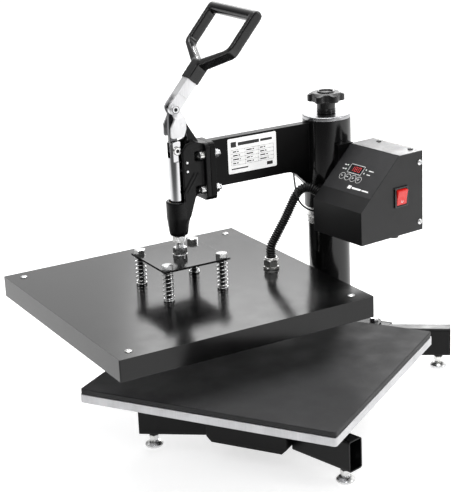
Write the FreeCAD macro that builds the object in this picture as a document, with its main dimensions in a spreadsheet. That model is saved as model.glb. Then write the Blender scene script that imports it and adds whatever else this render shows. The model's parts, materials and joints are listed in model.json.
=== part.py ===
import FreeCAD, Part
import math
import os
import re
from types import SimpleNamespace

import Sketcher
from FreeCAD import Placement, Rotation, Vector

# Swing-away heat press for 38 x 38 cm transfers, shown with its arm swung to the operator's left.
# Row frame: Z up, the table at z = 0, the fixed column's axis at x = y = 0, the operator at -Y.
# Arm-side pieces are drawn in the arm's own frame, in which the arm points along -Y, and are then
# turned about the column.  "reach" measures along the arm, "side" towards the machine's right.

doc = FreeCAD.newDocument("swing_away_heat_press")
sheet = doc.addObject("Spreadsheet::Sheet", "Sizes")

SIZES = [
    # base
    ("foot_gap", 23, "table to the underside of the leg tubes"),
    ("tube_height", 46, "leg tube"),
    ("tube_width", 26, "leg tube"),
    ("tube_wall", 2, "leg tube"),
    ("leg_angle", 19.5, "leg from the left-right direction, degrees"),
    ("leg_overhang", 19, "leg beyond its foot"),
    ("front_foot_side", 150, "foot from the centre plane"),
    ("front_foot_ahead", 313, "foot in front of the column"),
    ("rear_foot_side", 139, "foot from the centre plane"),
    ("rear_foot_behind", 111, "foot behind the column"),
    ("beam_width", 126, "central beam"),
    ("beam_wall", 2.5, "central beam sheet"),
    ("beam_chamfer", 8, "lower edges of the beam"),
    ("beam_front", 314, "front face ahead of the column"),
    ("beam_rear", 104, "rear face behind the column"),
    ("end_plate", 3, "beam end plates"),
    ("rail_width", 40, "cross rails under the lower platen"),
    ("rail_length", 280, "cross rails"),
    ("foot_radius", 13.5, "levelling foot"),
    ("stud_radius", 4, "levelling foot stud"),
    # platens
    ("platen_across", 380, "lower platen"),
    ("platen_along", 368, "lower platen"),
    ("platen_reach", 252.5, "lower platen's middle from the column"),
    ("pad_top", 135, "working height of the silicone pad"),
    ("pad_thick", 8, "silicone pad"),
    ("plate_thick", 12, "lower platen plate"),
    ("arm_reach", 259, "spindle and upper platen from the column"),
    ("open_gap", 48, "heated face above the pad at rest"),
    ("cover_across", 406, "upper platen cover"),
    ("cover_along", 400, "upper platen cover"),
    ("cover_height", 31, "upper platen cover"),
    ("cover_sheet", 1.5, "sheet of the cover and of the control box"),
    ("block_side", 380, "heated block, square"),
    ("block_thick", 20, "heated block"),
    # column
    ("column_radius", 31.75, "fixed column"),
    ("column_wall", 5, "fixed column"),
    ("column_top", 405, "top of the fixed column"),
    ("flange_thick", 12, "column foot flange"),
    ("sleeve_radius", 36.5, "turning sleeve"),
    ("sleeve_wall", 3.5, "turning sleeve"),
    ("sleeve_bottom", 295, "turning sleeve"),
    ("sleeve_top", 430, "turning sleeve"),
    ("cap_thick", 6, "sleeve cap"),
    ("screw_radius", 8, "height screw"),
    ("knob_radius", 28, "star knob over its lobes"),
    ("running", 0.05, "radial clearance of a running fit"),
    ("swing_rest", 33.69, "arm turned away from closed, degrees"),
    # arm
    ("arm_thick", 14, "arm bar"),
    ("arm_top", 427, "arm bar"),
    ("arm_bottom", 357, "arm bar"),
    ("joint_plate", 8, "bolted plates at the arm's end"),
    ("joint_face", 213, "face between the bolted plates, along the arm"),
    # toggle
    ("barrel_radius", 16.6, "plunger barrel"),
    ("barrel_top", 346, "plunger barrel"),
    ("barrel_bottom", 293.5, "plunger barrel"),
    ("plunger_radius", 10, "chromed plunger"),
    ("plunger_pin_up", 421, "plunger pin height at rest"),
    ("lever_pin_back", 9, "lever pivot behind the spindle"),
    ("lever_pin_up", 458.9, "lever pivot height"),
    ("link_pin_ahead", 0.5, "upper link pin ahead of the spindle at rest"),
    ("link_pin_up", 481.5, "upper link pin height at rest"),
    ("pin_radius", 4, "toggle pins"),
    ("link_thick", 7.6, "toggle link"),
    ("lever_lean", 131, "lever direction at rest, degrees up from the arm's direction"),
    ("lever_length", 164, "upper link pin to the grip"),
    ("grip_half", 64, "half the distance between the handle's arms"),
    # spring plate
    ("spring_plate_side", 108, "spring plate, square"),
    ("spring_plate_thick", 3, "spring plate"),
    ("spring_plate_top", 263, "spring plate"),
    ("spring_spacing", 88, "springs, square pattern"),
    ("spring_radius", 6.75, "spring, to the middle of its wire"),
    ("spring_wire", 1.0, "spring wire radius"),
    # control box
    ("box_turn", 6.53, "control box turned from the arm, degrees"),
    ("box_inner", 44, "near side wall from the column's axis"),
    ("box_width", 107, "control box"),
    ("box_behind", 54, "rear face behind the column's axis"),
    ("box_ahead", 65, "front face ahead of the column's axis"),
    ("box_top_ahead", -9.6, "front edge of the top face"),
    ("box_bottom", 275, "control box"),
    ("box_front_top", 324, "top of the upright front face"),
    ("box_top", 395, "control box"),
    # leads
    ("conduit_radius", 7.4, "corrugated conduit"),
    ("lead_radius", 1.3, "sensor lead"),
]
for row, (alias, number, meaning) in enumerate(SIZES, start=1):
    sheet.set("A%d" % row, meaning)
    sheet.set("B%d" % row, str(number))
    sheet.setAlias("B%d" % row, alias)
doc.recompute()
d = SimpleNamespace(**{alias: float(sheet.get(alias)) for alias, number, meaning in SIZES})
ALIASES = re.compile(r"\b(%s)\b" % "|".join(alias for alias, number, meaning in SIZES))

# ---------------------------------------------------------------------------------------------
# helpers

UP = Vector(0, 0, 1)
ARM_FRAME = Placement(Vector(0, 0, 0), Rotation(UP, -d.swing_rest))
BOX_FRAME = Placement(Vector(0, 0, 0), Rotation(UP, d.box_turn - d.swing_rest))
BASE_FRAME = Placement()
# A side view: local x is reach, local y is height, and local z points away from the machine's right.
SIDE_TURN = Rotation(Vector(0, -1, 0), UP, Vector(-1, 0, 0), "XYZ")
# A front view: local x is x, local y is height, and local z points to the operator.
FRONT_TURN = Rotation(Vector(1, 0, 0), UP, Vector(0, -1, 0), "XYZ")
nodes = []


def bind(thing, **formulas):
    """Set each property, and bind it to the sheet where its formula names a cell."""
    for prop, formula in formulas.items():
        if isinstance(formula, str):
            thing.setExpression(prop, ALIASES.sub(r"Sizes.\1", formula))
        else:
            setattr(thing, prop, formula)
    return thing


def at(x=0.0, y=0.0, z=0.0, turn=None):
    return Placement(Vector(x, y, z), turn or Rotation())


def primitive(kind, place, **formulas):
    thing = bind(doc.addObject("Part::" + kind, kind), **formulas)
    thing.Placement = place
    return thing


def block(length, width, height, x=0.0, y=0.0, z=0.0):
    """A box centred on x and y, standing on z."""
    thing = primitive("Box", at(), Length=length, Width=width, Height=height)
    doc.recompute([thing])
    thing.Placement = at(x - thing.Length.Value / 2, y - thing.Width.Value / 2, z)
    return thing


def rod(radius, height, x=0.0, y=0.0, z=0.0, turn=None):
    return primitive("Cylinder", at(x, y, z, turn), Radius=radius, Height=height)


def cone(radius1, radius2, height, x=0.0, y=0.0, z=0.0, turn=None):
    return primitive("Cone", at(x, y, z, turn), Radius1=radius1, Radius2=radius2, Height=height)


def hexagon(across_flats, height, x=0.0, y=0.0, z=0.0, turn=None):
    return primitive("Prism", at(x, y, z, turn), Polygon=6,
                     Circumradius=across_flats / math.sqrt(3), Height=height)


def fuse(*parts):
    if len(parts) == 1:
        return parts[0]
    thing = doc.addObject("Part::MultiFuse", "Fusion")
    thing.Shapes = list(parts)
    return thing


def cut(base, *tools):
    thing = doc.addObject("Part::Cut", "Cut")
    thing.Base = base
    thing.Tool = fuse(*tools)
    return thing


def common(first, second):
    thing = doc.addObject("Part::Common", "Common")
    thing.Base = first
    thing.Tool = second
    return thing


def group(parts):
    thing = doc.addObject("Part::Compound", "Group")
    thing.Links = list(parts)
    return thing


def feature(shape):
    thing = doc.addObject("Part::Feature", "Feature")
    thing.Shape = shape
    return thing


def node(name, thing, frame=BASE_FRAME):
    """Name a finished piece and turn it from its own frame into the row's frame."""
    thing.Label = name
    thing.Placement = frame.multiply(thing.Placement)
    nodes.append(thing)
    return thing


def rounded(points, radius=0.0):
    """A closed outline through points, each corner (or each third value) rounded by an arc."""
    corners = []
    count = len(points)
    for i, point in enumerate(points):
        here = Vector(point[0], point[1], 0)
        corner_radius = point[2] if len(point) > 2 else radius
        if corner_radius <= 0:
            corners.append((here, None, here))
            continue
        before = Vector(points[i - 1][0], points[i - 1][1], 0).sub(here).normalize()
        after = Vector(points[(i + 1) % count][0], points[(i + 1) % count][1], 0).sub(here).normalize()
        half = before.getAngle(after) / 2
        reach = corner_radius / math.tan(half)
        bisector = before.add(after).normalize()
        middle = here.add(bisector.multiply(corner_radius / math.sin(half) - corner_radius))
        corners.append((here.add(before.multiply(reach)), middle, here.add(after.multiply(reach))))
    edges = []
    for i, (start, middle, end) in enumerate(corners):
        if middle is not None:
            edges.append(Part.Arc(start, middle, end))
        following = corners[(i + 1) % count][0]
        if end.distanceToPoint(following) > 1e-6:
            edges.append(Part.LineSegment(end, following))
    return edges


def sketch_on(body, edges, plane="XY_Plane"):
    """A sketch of fixed edges on one of the body's own origin planes."""
    sketch = body.newObject("Sketcher::SketchObject", "Sketch")
    origin_plane = [f for f in body.Origin.OriginFeatures if f.Role == plane][0]
    sketch.AttachmentSupport = [(origin_plane, "")]
    sketch.MapMode = "FlatFace"
    for edge in edges:
        index = sketch.addGeometry(edge, False)
        sketch.addConstraint(Sketcher.Constraint("Block", index))
    return sketch


def pad(body, edges, length, both_ways=False):
    feature_pad = body.newObject("PartDesign::Pad", "Pad")
    feature_pad.Profile = sketch_on(body, edges)
    bind(feature_pad, Length=length)
    feature_pad.Midplane = both_ways
    return feature_pad


def plate(edges, length, place=None, both_ways=False):
    """A PartDesign body padded from one outline."""
    body = doc.addObject("PartDesign::Body", "Body")
    pad(body, edges, length, both_ways)
    body.Placement = place or at()
    return body


def pocket(body, edges, length):
    """Cut the body upwards from its sketch plane, and check that material went."""
    doc.recompute()
    volume = body.Shape.Volume
    hole = body.newObject("PartDesign::Pocket", "Pocket")
    hole.Profile = sketch_on(body, edges)
    bind(hole, Length=length)
    hole.Reversed = True
    doc.recompute()
    if body.Shape.Volume > volume - 1.0:
        raise RuntimeError("a pocket cut nothing")
    return hole


def turned(profile, radius=0.0):
    """A PartDesign body revolved about Z from (radius, height) points."""
    body = doc.addObject("PartDesign::Body", "Body")
    revolution = body.newObject("PartDesign::Revolution", "Revolution")
    revolution.Profile = sketch_on(body, rounded(profile, radius), "XZ_Plane")
    revolution.ReferenceAxis = (revolution.Profile[0], ["V_Axis"])
    revolution.Angle = 360
    return body


def rectangle(width, height, radius=0.0, x=0.0, y=0.0):
    points = [(x - width / 2, y - height / 2), (x + width / 2, y - height / 2),
              (x + width / 2, y + height / 2), (x - width / 2, y + height / 2)]
    return rounded(points, radius)


def ring_edge(radius, x=0.0, y=0.0):
    return Part.Circle(Vector(x, y, 0), UP, radius)


def side_plate(outline, side_low, side_high, radius=0.0):
    """A flat piece whose outline is drawn in the side view (reach, height)."""
    edges = rounded(outline, radius)
    return plate(edges, side_high - side_low, at(side_high, 0, 0, SIDE_TURN))


def side_rod(radius, side_low, side_high, reach, height):
    """A rod across the arm."""
    return rod(radius, side_high - side_low, side_high, -reach, height, SIDE_TURN)


def square_pattern(spacing_x, spacing_y):
    return [(i * spacing_x / 2, j * spacing_y / 2) for i in (-1, 1) for j in (-1, 1)]


def pan_screw(head_radius, head_height, shank_radius, shank_length, place):
    """A pan-head screw with a cross recess; its head stands up from place, its shank hangs down."""
    head = rod(head_radius, head_height)
    dome = primitive("Sphere", at(0, 0, head_height - head_radius * 1.6), Radius=head_radius * 1.6)
    shank = rod(shank_radius, shank_length, 0, 0, -shank_length)
    slots = [block(head_radius * 1.1, 0.9, 1.4, 0, 0, head_height - 1.2),
             block(0.9, head_radius * 1.1, 1.4, 0, 0, head_height - 1.2)]
    screw = fuse(cut(common(head, dome), *slots), shank)
    screw.Placement = place
    return screw


def tube_shape(points, radius, name):
    """A round tube along straight runs joined by tangent arcs, each as large as its runs allow."""
    route = [Vector(*p) for p in points]
    edges = []
    radii = []
    start = route[0]
    for before, here, after in zip(route, route[1:], route[2:]):
        to_before = before.sub(here)
        to_after = after.sub(here)
        shorter = min(to_before.Length, to_after.Length)
        turn = math.pi - to_before.getAngle(to_after)
        reach = 0.45 * shorter
        radii.append(reach / math.tan(turn / 2))
        to_before.normalize()
        to_after.normalize()
        arc_start = here.add(Vector(to_before).multiply(reach))
        arc_end = here.add(Vector(to_after).multiply(reach))
        bisector = to_before.add(to_after).normalize()
        depth = radii[-1] / math.cos(turn / 2) - radii[-1]
        edges.append(Part.LineSegment(start, arc_start).toShape())
        edges.append(Part.Arc(arc_start, here.add(bisector.multiply(depth)), arc_end).toShape())
        start = arc_end
    edges.append(Part.LineSegment(start, route[-1]).toShape())
    path = Part.Wire(edges)
    section = Part.Wire(Part.Circle(route[0], route[1].sub(route[0]), radius).toShape())
    shape = path.makePipeShell([section], True, False)
    expected = math.pi * radius ** 2 * path.Length
    print("%s: radii %s mm, length %.1f mm, volume %.4f of section times length"
          % (name, " ".join("%.0f" % r for r in radii), path.Length, shape.Volume / expected))
    return shape


# ---------------------------------------------------------------------------------------------
# worked-out sizes

tube_top = d.foot_gap + d.tube_height
plate_bottom = d.pad_top - d.pad_thick - d.plate_thick
block_bottom = d.pad_top + d.open_gap
cover_bottom = block_bottom + 1.0
cover_top = cover_bottom + d.cover_height
flange_top = tube_top + d.flange_thick
cap_top = d.sleeve_top + d.cap_thick
lever_pin = (d.arm_reach - d.lever_pin_back, d.lever_pin_up)
link_pin = (d.arm_reach + d.link_pin_ahead, d.link_pin_up)
plunger_pin = (d.arm_reach, d.plunger_pin_up)
crank = math.dist(lever_pin, link_pin)
link_length = math.dist(link_pin, plunger_pin)
stroke = d.plunger_pin_up - d.lever_pin_up + math.sqrt((crank + link_length) ** 2 - d.lever_pin_back ** 2)
open_angle = math.degrees(math.atan2(link_pin[1] - lever_pin[1], link_pin[0] - lever_pin[0]))
lever_turn = open_angle + 90 - math.degrees(math.asin(d.lever_pin_back / (crank + link_length)))
link_open = math.degrees(math.atan2(link_pin[1] - plunger_pin[1], link_pin[0] - plunger_pin[0]))
link_shut = 90 + math.degrees(math.asin(d.lever_pin_back / (crank + link_length)))
print("stroke %.3f mm, lever turns %.3f deg, link turns %.3f deg, open angle %.2f"
      % (stroke, lever_turn, link_shut - link_open, open_angle))


# ---------------------------------------------------------------------------------------------
# base

def beam_outline(margin):
    half = d.beam_width / 2 - margin
    low = d.foot_gap + margin
    corner = d.beam_chamfer - margin * 0.6
    return rounded([(-half + corner, low), (half - corner, low), (half, low + corner),
                    (half, tube_top - margin), (-half, tube_top - margin), (-half, low + corner)])


def make_beam():
    body = doc.addObject("PartDesign::Body", "Body")
    pad(body, beam_outline(0) + beam_outline(d.beam_wall),
        "beam_front + beam_rear - 2 * end_plate")
    body.Placement = at(0, d.beam_rear - d.end_plate, 0, FRONT_TURN)
    node("base_beam", body)
    ends = [plate(beam_outline(0), "end_plate", at(0, y, 0, FRONT_TURN))
            for y in (d.end_plate - d.beam_front, d.beam_rear)]
    node("beam_end_plates", group(ends))


def leg(foot_x, foot_y, toward_y):
    """A hollow rectangular tube from the beam's side, splayed out past its foot's threaded bush."""
    sign = math.copysign(1, foot_x)
    lean = math.radians(d.leg_angle)
    out = Vector(sign * math.cos(lean), toward_y * math.sin(lean), 0)
    inner = (abs(foot_x) - d.beam_width / 2) / math.cos(lean) + 10
    length = inner + d.leg_overhang
    across = UP.cross(out)
    turn = Rotation(across, UP, out, "XYZ")
    body = doc.addObject("PartDesign::Body", "Body")
    outer = rectangle(d.tube_width, d.tube_height, 4)
    hollow = rectangle(d.tube_width - 2 * d.tube_wall, d.tube_height - 2 * d.tube_wall, 2)
    pad(body, outer + hollow, length)
    start = Vector(foot_x, foot_y, d.foot_gap + d.tube_height / 2).sub(Vector(out).multiply(inner))
    body.Placement = Placement(start, turn)
    mitre = block("beam_width", 200, "tube_height + 10", 0, foot_y, d.foot_gap - 5)
    stud_hole = rod("stud_radius", 14, foot_x, foot_y, d.foot_gap - 7)
    bush = rod(6.5, 4.5, foot_x, foot_y, d.foot_gap - 4)
    return cut(fuse(cut(body, mitre), bush), stud_hole)


def make_legs():
    front = [leg(side * d.front_foot_side, -d.front_foot_ahead, -1) for side in (-1, 1)]
    rear = [leg(side * d.rear_foot_side, d.rear_foot_behind, 1) for side in (-1, 1)]
    node("front_legs", group(front))
    node("rear_legs", group(rear))


def make_feet():
    places = [(side * d.front_foot_side, -d.front_foot_ahead) for side in (-1, 1)]
    places += [(side * d.rear_foot_side, d.rear_foot_behind) for side in (-1, 1)]
    feet = []
    nuts = []
    for x, y in places:
        foot = turned([(0, 0), (10.5, 0), (d.foot_radius, 2.2, 2), (d.foot_radius, 5.2, 2.5),
                       (9.5, 8.6, 3), (5.5, 10, 1.5), (5.5, 12.6), (d.stud_radius, 12.6),
                       (d.stud_radius, 36), (0, 36)])
        foot.Placement = at(x, y, 0)
        feet.append(foot)
        nuts.append(cut(hexagon(13, 6, x, y, 12.8), rod("stud_radius", 8, x, y, 12)))
    node("levelling_feet", group(feet))
    node("foot_lock_nuts", group(nuts))


def make_column():
    flange_deep = 144
    flange_y = 14
    body = plate(rectangle(114, flange_deep, 18, 0, flange_y), "flange_thick", at(0, 0, tube_top))
    bolt_places = [(sx * 44, y) for sx in (-1, 1) for y in (-44, 72)]
    holes = [rod(4.5, 14, x, y, tube_top - 1) for x, y in bolt_places]
    node("column_flange", cut(body, *holes))
    foot_bolts = [fuse(hexagon(13, 5.5, x, y, flange_top), rod(4, 11.5, x, y, tube_top + 0.5))
                  for x, y in bolt_places]
    wall = cut(rod("column_radius", "column_top - %.1f" % flange_top, 0, 0, flange_top),
               rod("column_radius - column_wall", "column_top", 0, 0, flange_top - 10))
    node("column", wall)
    nut = cut(rod("column_radius - column_wall", 20, 0, 0, d.column_top - 20),
              rod("screw_radius + running", 30, 0, 0, d.column_top - 25))
    node("column_nut", nut)
    collar = turned([(d.column_radius, 269), (33.6, 269, 0.6), (33.6, 279, 0.8), (32.8, 280, 0.3),
                     (33.6, 281, 0.8), (33.6, 291, 0.6), (d.column_radius, 291)])
    node("column_collar", collar)
    washer = cut(rod(36, 3.8, 0, 0, 291), rod(32.2, 6, 0, 0, 290))
    node("thrust_washer", washer)
    return foot_bolts


def make_lower_platen(foot_bolts):
    y = -d.platen_reach
    bolt_places = [(sx * 118, yy) for sx in (-1, 1) for yy in (-290, -160)]
    outline = rectangle(d.platen_across, d.platen_along, 4, 0, y)
    body = plate(outline, "plate_thick", at(0, 0, plate_bottom))
    holes = [rod(4.1, 9, px, py, plate_bottom - 1) for px, py in bolt_places]
    node("lower_platen_plate", cut(body, *holes))
    top = rectangle(d.platen_across - 1.6, d.platen_along - 1.6, 4, 0, y)
    node("silicone_pad", plate(top, "pad_thick", at(0, 0, d.pad_top - d.pad_thick)))
    rails = []
    for rail_y in (-290, -160):
        height = plate_bottom - tube_top
        outer = block("rail_length", "rail_width", height, 0, rail_y, tube_top)
        hollow = block("rail_length + 2", "rail_width - 5", height - 5, 0, rail_y, tube_top + 2.5)
        drilled = [rod(4.1, height, sx * 118, rail_y, tube_top + 10) for sx in (-1, 1)]
        rails.append(cut(outer, hollow, *drilled))
    node("platen_rails", group(rails))
    bolts = list(foot_bolts)
    for px, py in bolt_places:
        head = hexagon(13, 5.3, px, py, plate_bottom - 2.5 - 5.3)
        bolts.append(fuse(head, rod(4, 9.5, px, py, plate_bottom - 2.5)))
    node("base_bolts", group(bolts))


# ---------------------------------------------------------------------------------------------
# lift and knob

def make_lift():
    bearing = cut(rod(15, 1.8, 0, 0, d.sleeve_top - 8), rod("screw_radius + 0.4", 4, 0, 0, d.sleeve_top - 9))
    node("thrust_bearing", bearing)
    screw = fuse(rod("screw_radius", 122, 0, 0, 330), rod(15, 5.8, 0, 0, d.sleeve_top - 14))
    node("height_screw", screw)


def make_knob():
    low = cap_top + 0.2
    lobe_radius = 7.6
    body = doc.addObject("PartDesign::Body", "Body")
    disc = pad(body, [ring_edge(22.5)], 13)
    doc.recompute()
    lobe = body.newObject("PartDesign::Pad", "Lobe")
    lobe.Profile = sketch_on(body, [ring_edge(lobe_radius, d.knob_radius - lobe_radius)])
    lobe.Length = 13
    pattern = body.newObject("PartDesign::PolarPattern", "Lobes")
    pattern.Originals = [lobe]
    pattern.Axis = ([f for f in body.Origin.OriginFeatures if f.Role == "Z_Axis"][0], [""])
    pattern.Angle = 360
    pattern.Occurrences = 6
    body.Tip = pattern
    doc.recompute()
    if body.Shape.Volume < disc.Shape.Volume * 1.05:
        raise RuntimeError("the lobes are missing")
    body.Placement = at(0, 0, low + 18.8)
    hub = turned([(0, low), (14, low, 0.8), (14, low + 5.5, 0.8), (12.8, low + 6.2, 0.3),
                  (14, low + 7, 0.8), (14, low + 19), (0, low + 19)])
    soften = turned([(0, low - 5), (40, low - 5), (40, low + 20), (d.knob_radius, low + 28, 4),
                     (20, low + 32, 4), (0, low + 32)])
    bore = rod("screw_radius", 19, 0, 0, low - 3)
    node("star_knob", cut(common(fuse(body, hub), soften), bore), ARM_FRAME)


# ---------------------------------------------------------------------------------------------
# arm

def make_sleeve():
    tube = cut(rod("sleeve_radius", "sleeve_top - sleeve_bottom", 0, 0, d.sleeve_bottom),
               rod("sleeve_radius - sleeve_wall", 200, 0, 0, d.sleeve_bottom - 10))
    node("sleeve", tube, ARM_FRAME)
    bushes = [cut(rod("sleeve_radius - sleeve_wall", 26, 0, 0, low),
                  rod("column_radius + running", 30, 0, 0, low - 2)) for low in (d.sleeve_bottom + 2, 374)]
    node("sleeve_bushes", group(bushes), ARM_FRAME)
    inner = d.sleeve_radius - d.sleeve_wall
    hole = d.screw_radius + 0.4
    low = d.sleeve_top
    cap = turned([(hole, low - 6), (inner - 0.1, low - 6), (inner - 0.1, low), (d.sleeve_radius, low),
                  (d.sleeve_radius, cap_top, 1.5), (hole, cap_top)])
    node("sleeve_cap", cap, ARM_FRAME)


def make_arm_bar():
    joint = d.joint_face - d.joint_plate
    outline = [(20, d.arm_top), (20, 326), (36, 326), (46, 338, 20), (66, d.arm_bottom, 26),
               (joint, d.arm_bottom), (joint, d.arm_top)]
    bar = plate(rounded(outline), "arm_thick", at(0, 0, 0, SIDE_TURN), True)
    weldment = fuse(bar, joint_plate_body(d.joint_face))
    node("arm_bar", cut(weldment, rod("sleeve_radius", 200, 0, 0, 290)), ARM_FRAME)


JOINT_LOW = 343
JOINT_HIGH = 428
JOINT_HALF = 23
JOINT_BOLTS = [(side, height) for side in (-14.5, 14.5) for height in (359, 410)]


def joint_plate_body(reach_end):
    """One of the two bolted plates, from reach_end back towards the column."""
    body = doc.addObject("PartDesign::Body", "Body")
    middle = (JOINT_LOW + JOINT_HIGH) / 2
    holes = [ring_edge(4.2, side, height) for side, height in JOINT_BOLTS]
    outline = rectangle(2 * JOINT_HALF, JOINT_HIGH - JOINT_LOW, 8, 0, middle)
    pad(body, outline + holes, "joint_plate")
    body.Placement = at(0, d.joint_plate - reach_end, 0, FRONT_TURN)
    return body


def joint_fasteners():
    """Four socket screws with their nuts behind the arm's plate."""
    face = d.joint_face + d.joint_plate
    fasteners = []
    for side, height in JOINT_BOLTS:
        head = cut(rod(6.3, 7, side, -face, height, FRONT_TURN),
                   hexagon(6, 4, side, -face - 3.2, height, FRONT_TURN))
        shank = rod(4, 27, side, -face + 27, height, FRONT_TURN)
        fasteners.append(fuse(head, shank))
        nut = cut(hexagon(13, 6.5, side, d.joint_plate - d.joint_face + 6.5, height, FRONT_TURN),
                  rod(4, 12, side, d.joint_plate - d.joint_face + 9, height, FRONT_TURN))
        fasteners.append(nut)
    return fasteners


def make_toggle_body():
    """The cast body: bolted plate, rear web, two cheeks, the spike that holds the lever, and the barrel."""
    reach = d.arm_reach
    face = d.joint_face + d.joint_plate
    cheek = [(reach - 5, 336), (reach - 5, 420, 3), (reach - 12, 430), (reach - 23, 433, 4),
             (face - 2, 427), (face - 2, 353), (reach - 24, 352, 6), (reach - 14, 322, 8), (reach - 7, 316)]
    pieces = [joint_plate_body(face)]
    for low, high in ((-15.3, -10.8), (10.8, 15.3)):
        pieces.append(side_plate(cheek, low, high))
    web = [(face - 2, 353), (reach - 24, 352, 6), (reach - 9, 300, 3), (reach, 300), (reach, 344),
           (reach - 16, 350, 8), (reach - 21, 372, 8), (reach - 21, 431), (face - 2, 427)]
    pieces.append(side_plate(web, -11, 11))
    pivot = lever_pin[0]
    spike = [(pivot - 9.5, 424), (pivot - 9.5, 436), (pivot - 5.4, 451), (pivot - 1, 465, 2),
             (pivot - 4.5, 464.5, 1), (pivot - 17.5, 443), (pivot - 28, 426), (pivot - 28, 424)]
    for low, high in ((-10, -5.2), (5.2, 10)):
        pieces.append(side_plate(spike, low, high))
        pieces.append(side_rod(8, low, high, *lever_pin))
    for low, high in ((-15.3, -5.2), (5.2, 15.3)):
        shoulder = [(pivot - 18, 424), (pivot - 8.5, 424), (pivot - 8.5, 431, 2), (pivot - 17, 433)]
        pieces.append(side_plate(shoulder, low, high))
    barrel = turned([(0, d.barrel_bottom), (12.2, d.barrel_bottom, 2), (14, 299, 6),
                     (d.barrel_radius, 322, 40), (d.barrel_radius, d.barrel_top, 1), (0, d.barrel_top)])
    barrel.Placement = at(0, -reach, 0)
    pieces.append(barrel)
    rib_turn = math.degrees(math.atan2(-25.0, 17.5))
    for along in (0, 6):
        rib = primitive("Box", at(), Length=33, Width=1.6, Height=32)
        rib.Placement = at(16, along - (reach - 23.5), 384.5, SIDE_TURN.multiply(Rotation(UP, rib_turn)))
        pieces.append(rib)
    bore = rod(12, 80, 0, -reach, d.barrel_bottom - 10)
    pins = side_rod("pin_radius", -20, 20, *lever_pin)
    channel = block(21.6, 40, 86, 0, -reach, d.barrel_top)
    tools = [side_rod(2.1, -20, 20, reach - 11.5, height) for height in (390, 403)]
    tools += [rod(6.8, 14, side, -face, height, FRONT_TURN) for side, height in JOINT_BOLTS]
    tools += [rod(4.2, 10, side, 5 - face, height, FRONT_TURN) for side, height in JOINT_BOLTS]
    node("toggle_body", cut(fuse(*pieces), bore, pins, channel, *tools), ARM_FRAME)
    rivets = []
    for height in (390, 403):
        for low, high in ((-16.2, -9.5), (9.5, 16.2)):
            rivets.append(side_rod(2, low, high, reach - 11.5, height))
    node("toggle_fasteners", group(joint_fasteners() + rivets), ARM_FRAME)
    bush = cut(rod(12, 46, 0, -reach, 297), rod("plunger_radius + running", 60, 0, -reach, 290))
    node("barrel_bush", bush, ARM_FRAME)


# ---------------------------------------------------------------------------------------------
# toggle

def lever_point(along, across=0.0):
    """A side-view point measured from the upper link pin along the lever, and across it."""
    lean = math.radians(d.lever_lean)
    return (link_pin[0] + along * math.cos(lean) - across * math.sin(lean),
            link_pin[1] + along * math.sin(lean) + across * math.cos(lean))


def lever_outline(points):
    return [lever_point(*p[:2]) + tuple(p[2:]) for p in points]


def make_lever():
    """Two joggled plates hang from a bar; the bar stops short of the link's eye."""
    plates = []
    x_pin, z_pin = link_pin
    pivot = lever_pin[0]
    hanger = [(pivot - 0.5, 440.5, 3), (pivot + 19, 441, 3), (pivot + 18.5, 457, 4), (pivot + 14, 465),
              (pivot + 12, 469), (pivot + 13, 475), (x_pin, z_pin + 4), (x_pin - 8.5, z_pin),
              (pivot - 5, 466, 6), (pivot - 5, 452, 3)]
    strap = [(0, -9), (0, 9), (22, 9), (22, -9)]
    for sign in (-1, 1):
        joggle = [(10.5, 430), (14, 430), (14, 468.5), (8.1, 475.5), (8.1, 520), (4.6, 520),
                  (4.6, 474.3), (10.5, 467.3)]
        profile = [(sign * side, height) for side, height in joggle]
        bent = plate(rounded(profile), 80, at(0, -d.arm_reach + 40, 0, FRONT_TURN))
        flat = fuse(side_plate(hanger, -16, 16), side_rod(8.5, -16, 16, *link_pin),
                    side_plate(lever_outline(strap), -16, 16))
        holes = [side_rod("pin_radius", -20, 20, *lever_pin), side_rod("pin_radius", -20, 20, *link_pin)]
        plates.append(cut(common(bent, flat), *holes))
    node("lever_plates", group(plates), ARM_FRAME)
    bar = [(12, -9, 7), (12, 9, 4), (75, 9), (75, -9)]
    shank = side_plate(lever_outline(bar), -4.6, 4.6)
    straps = []
    for low, high in ((-8.1, -4.6), (4.6, 8.1)):
        straps.append(side_plate(lever_outline([(22, -9), (22, 9), (75, 9), (75, -9)]), low, high))
    node("lever_bar", fuse(shank, *straps), ARM_FRAME)
    pins = []
    for sign in (-1, 1):
        outward = Rotation(Vector(0, 1, 0), 90 * sign)
        stub = fuse(rod("pin_radius", 3.8, 0, 0, 4.3), rod(6, 1.2, 0, 0, 8.1), rod(5.4, 3.7, 0, 0, 9.3))
        stub = cut(stub, hexagon(5, 4, 0, 0, 10.8))
        stub.Placement = at(0, -link_pin[0], link_pin[1], outward)
        pivot = rod("pin_radius - running", 8.6, sign * 5.4, -lever_pin[0], lever_pin[1], outward)
        pins += [stub, pivot]
    node("lever_pins", group(pins), ARM_FRAME)


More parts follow.
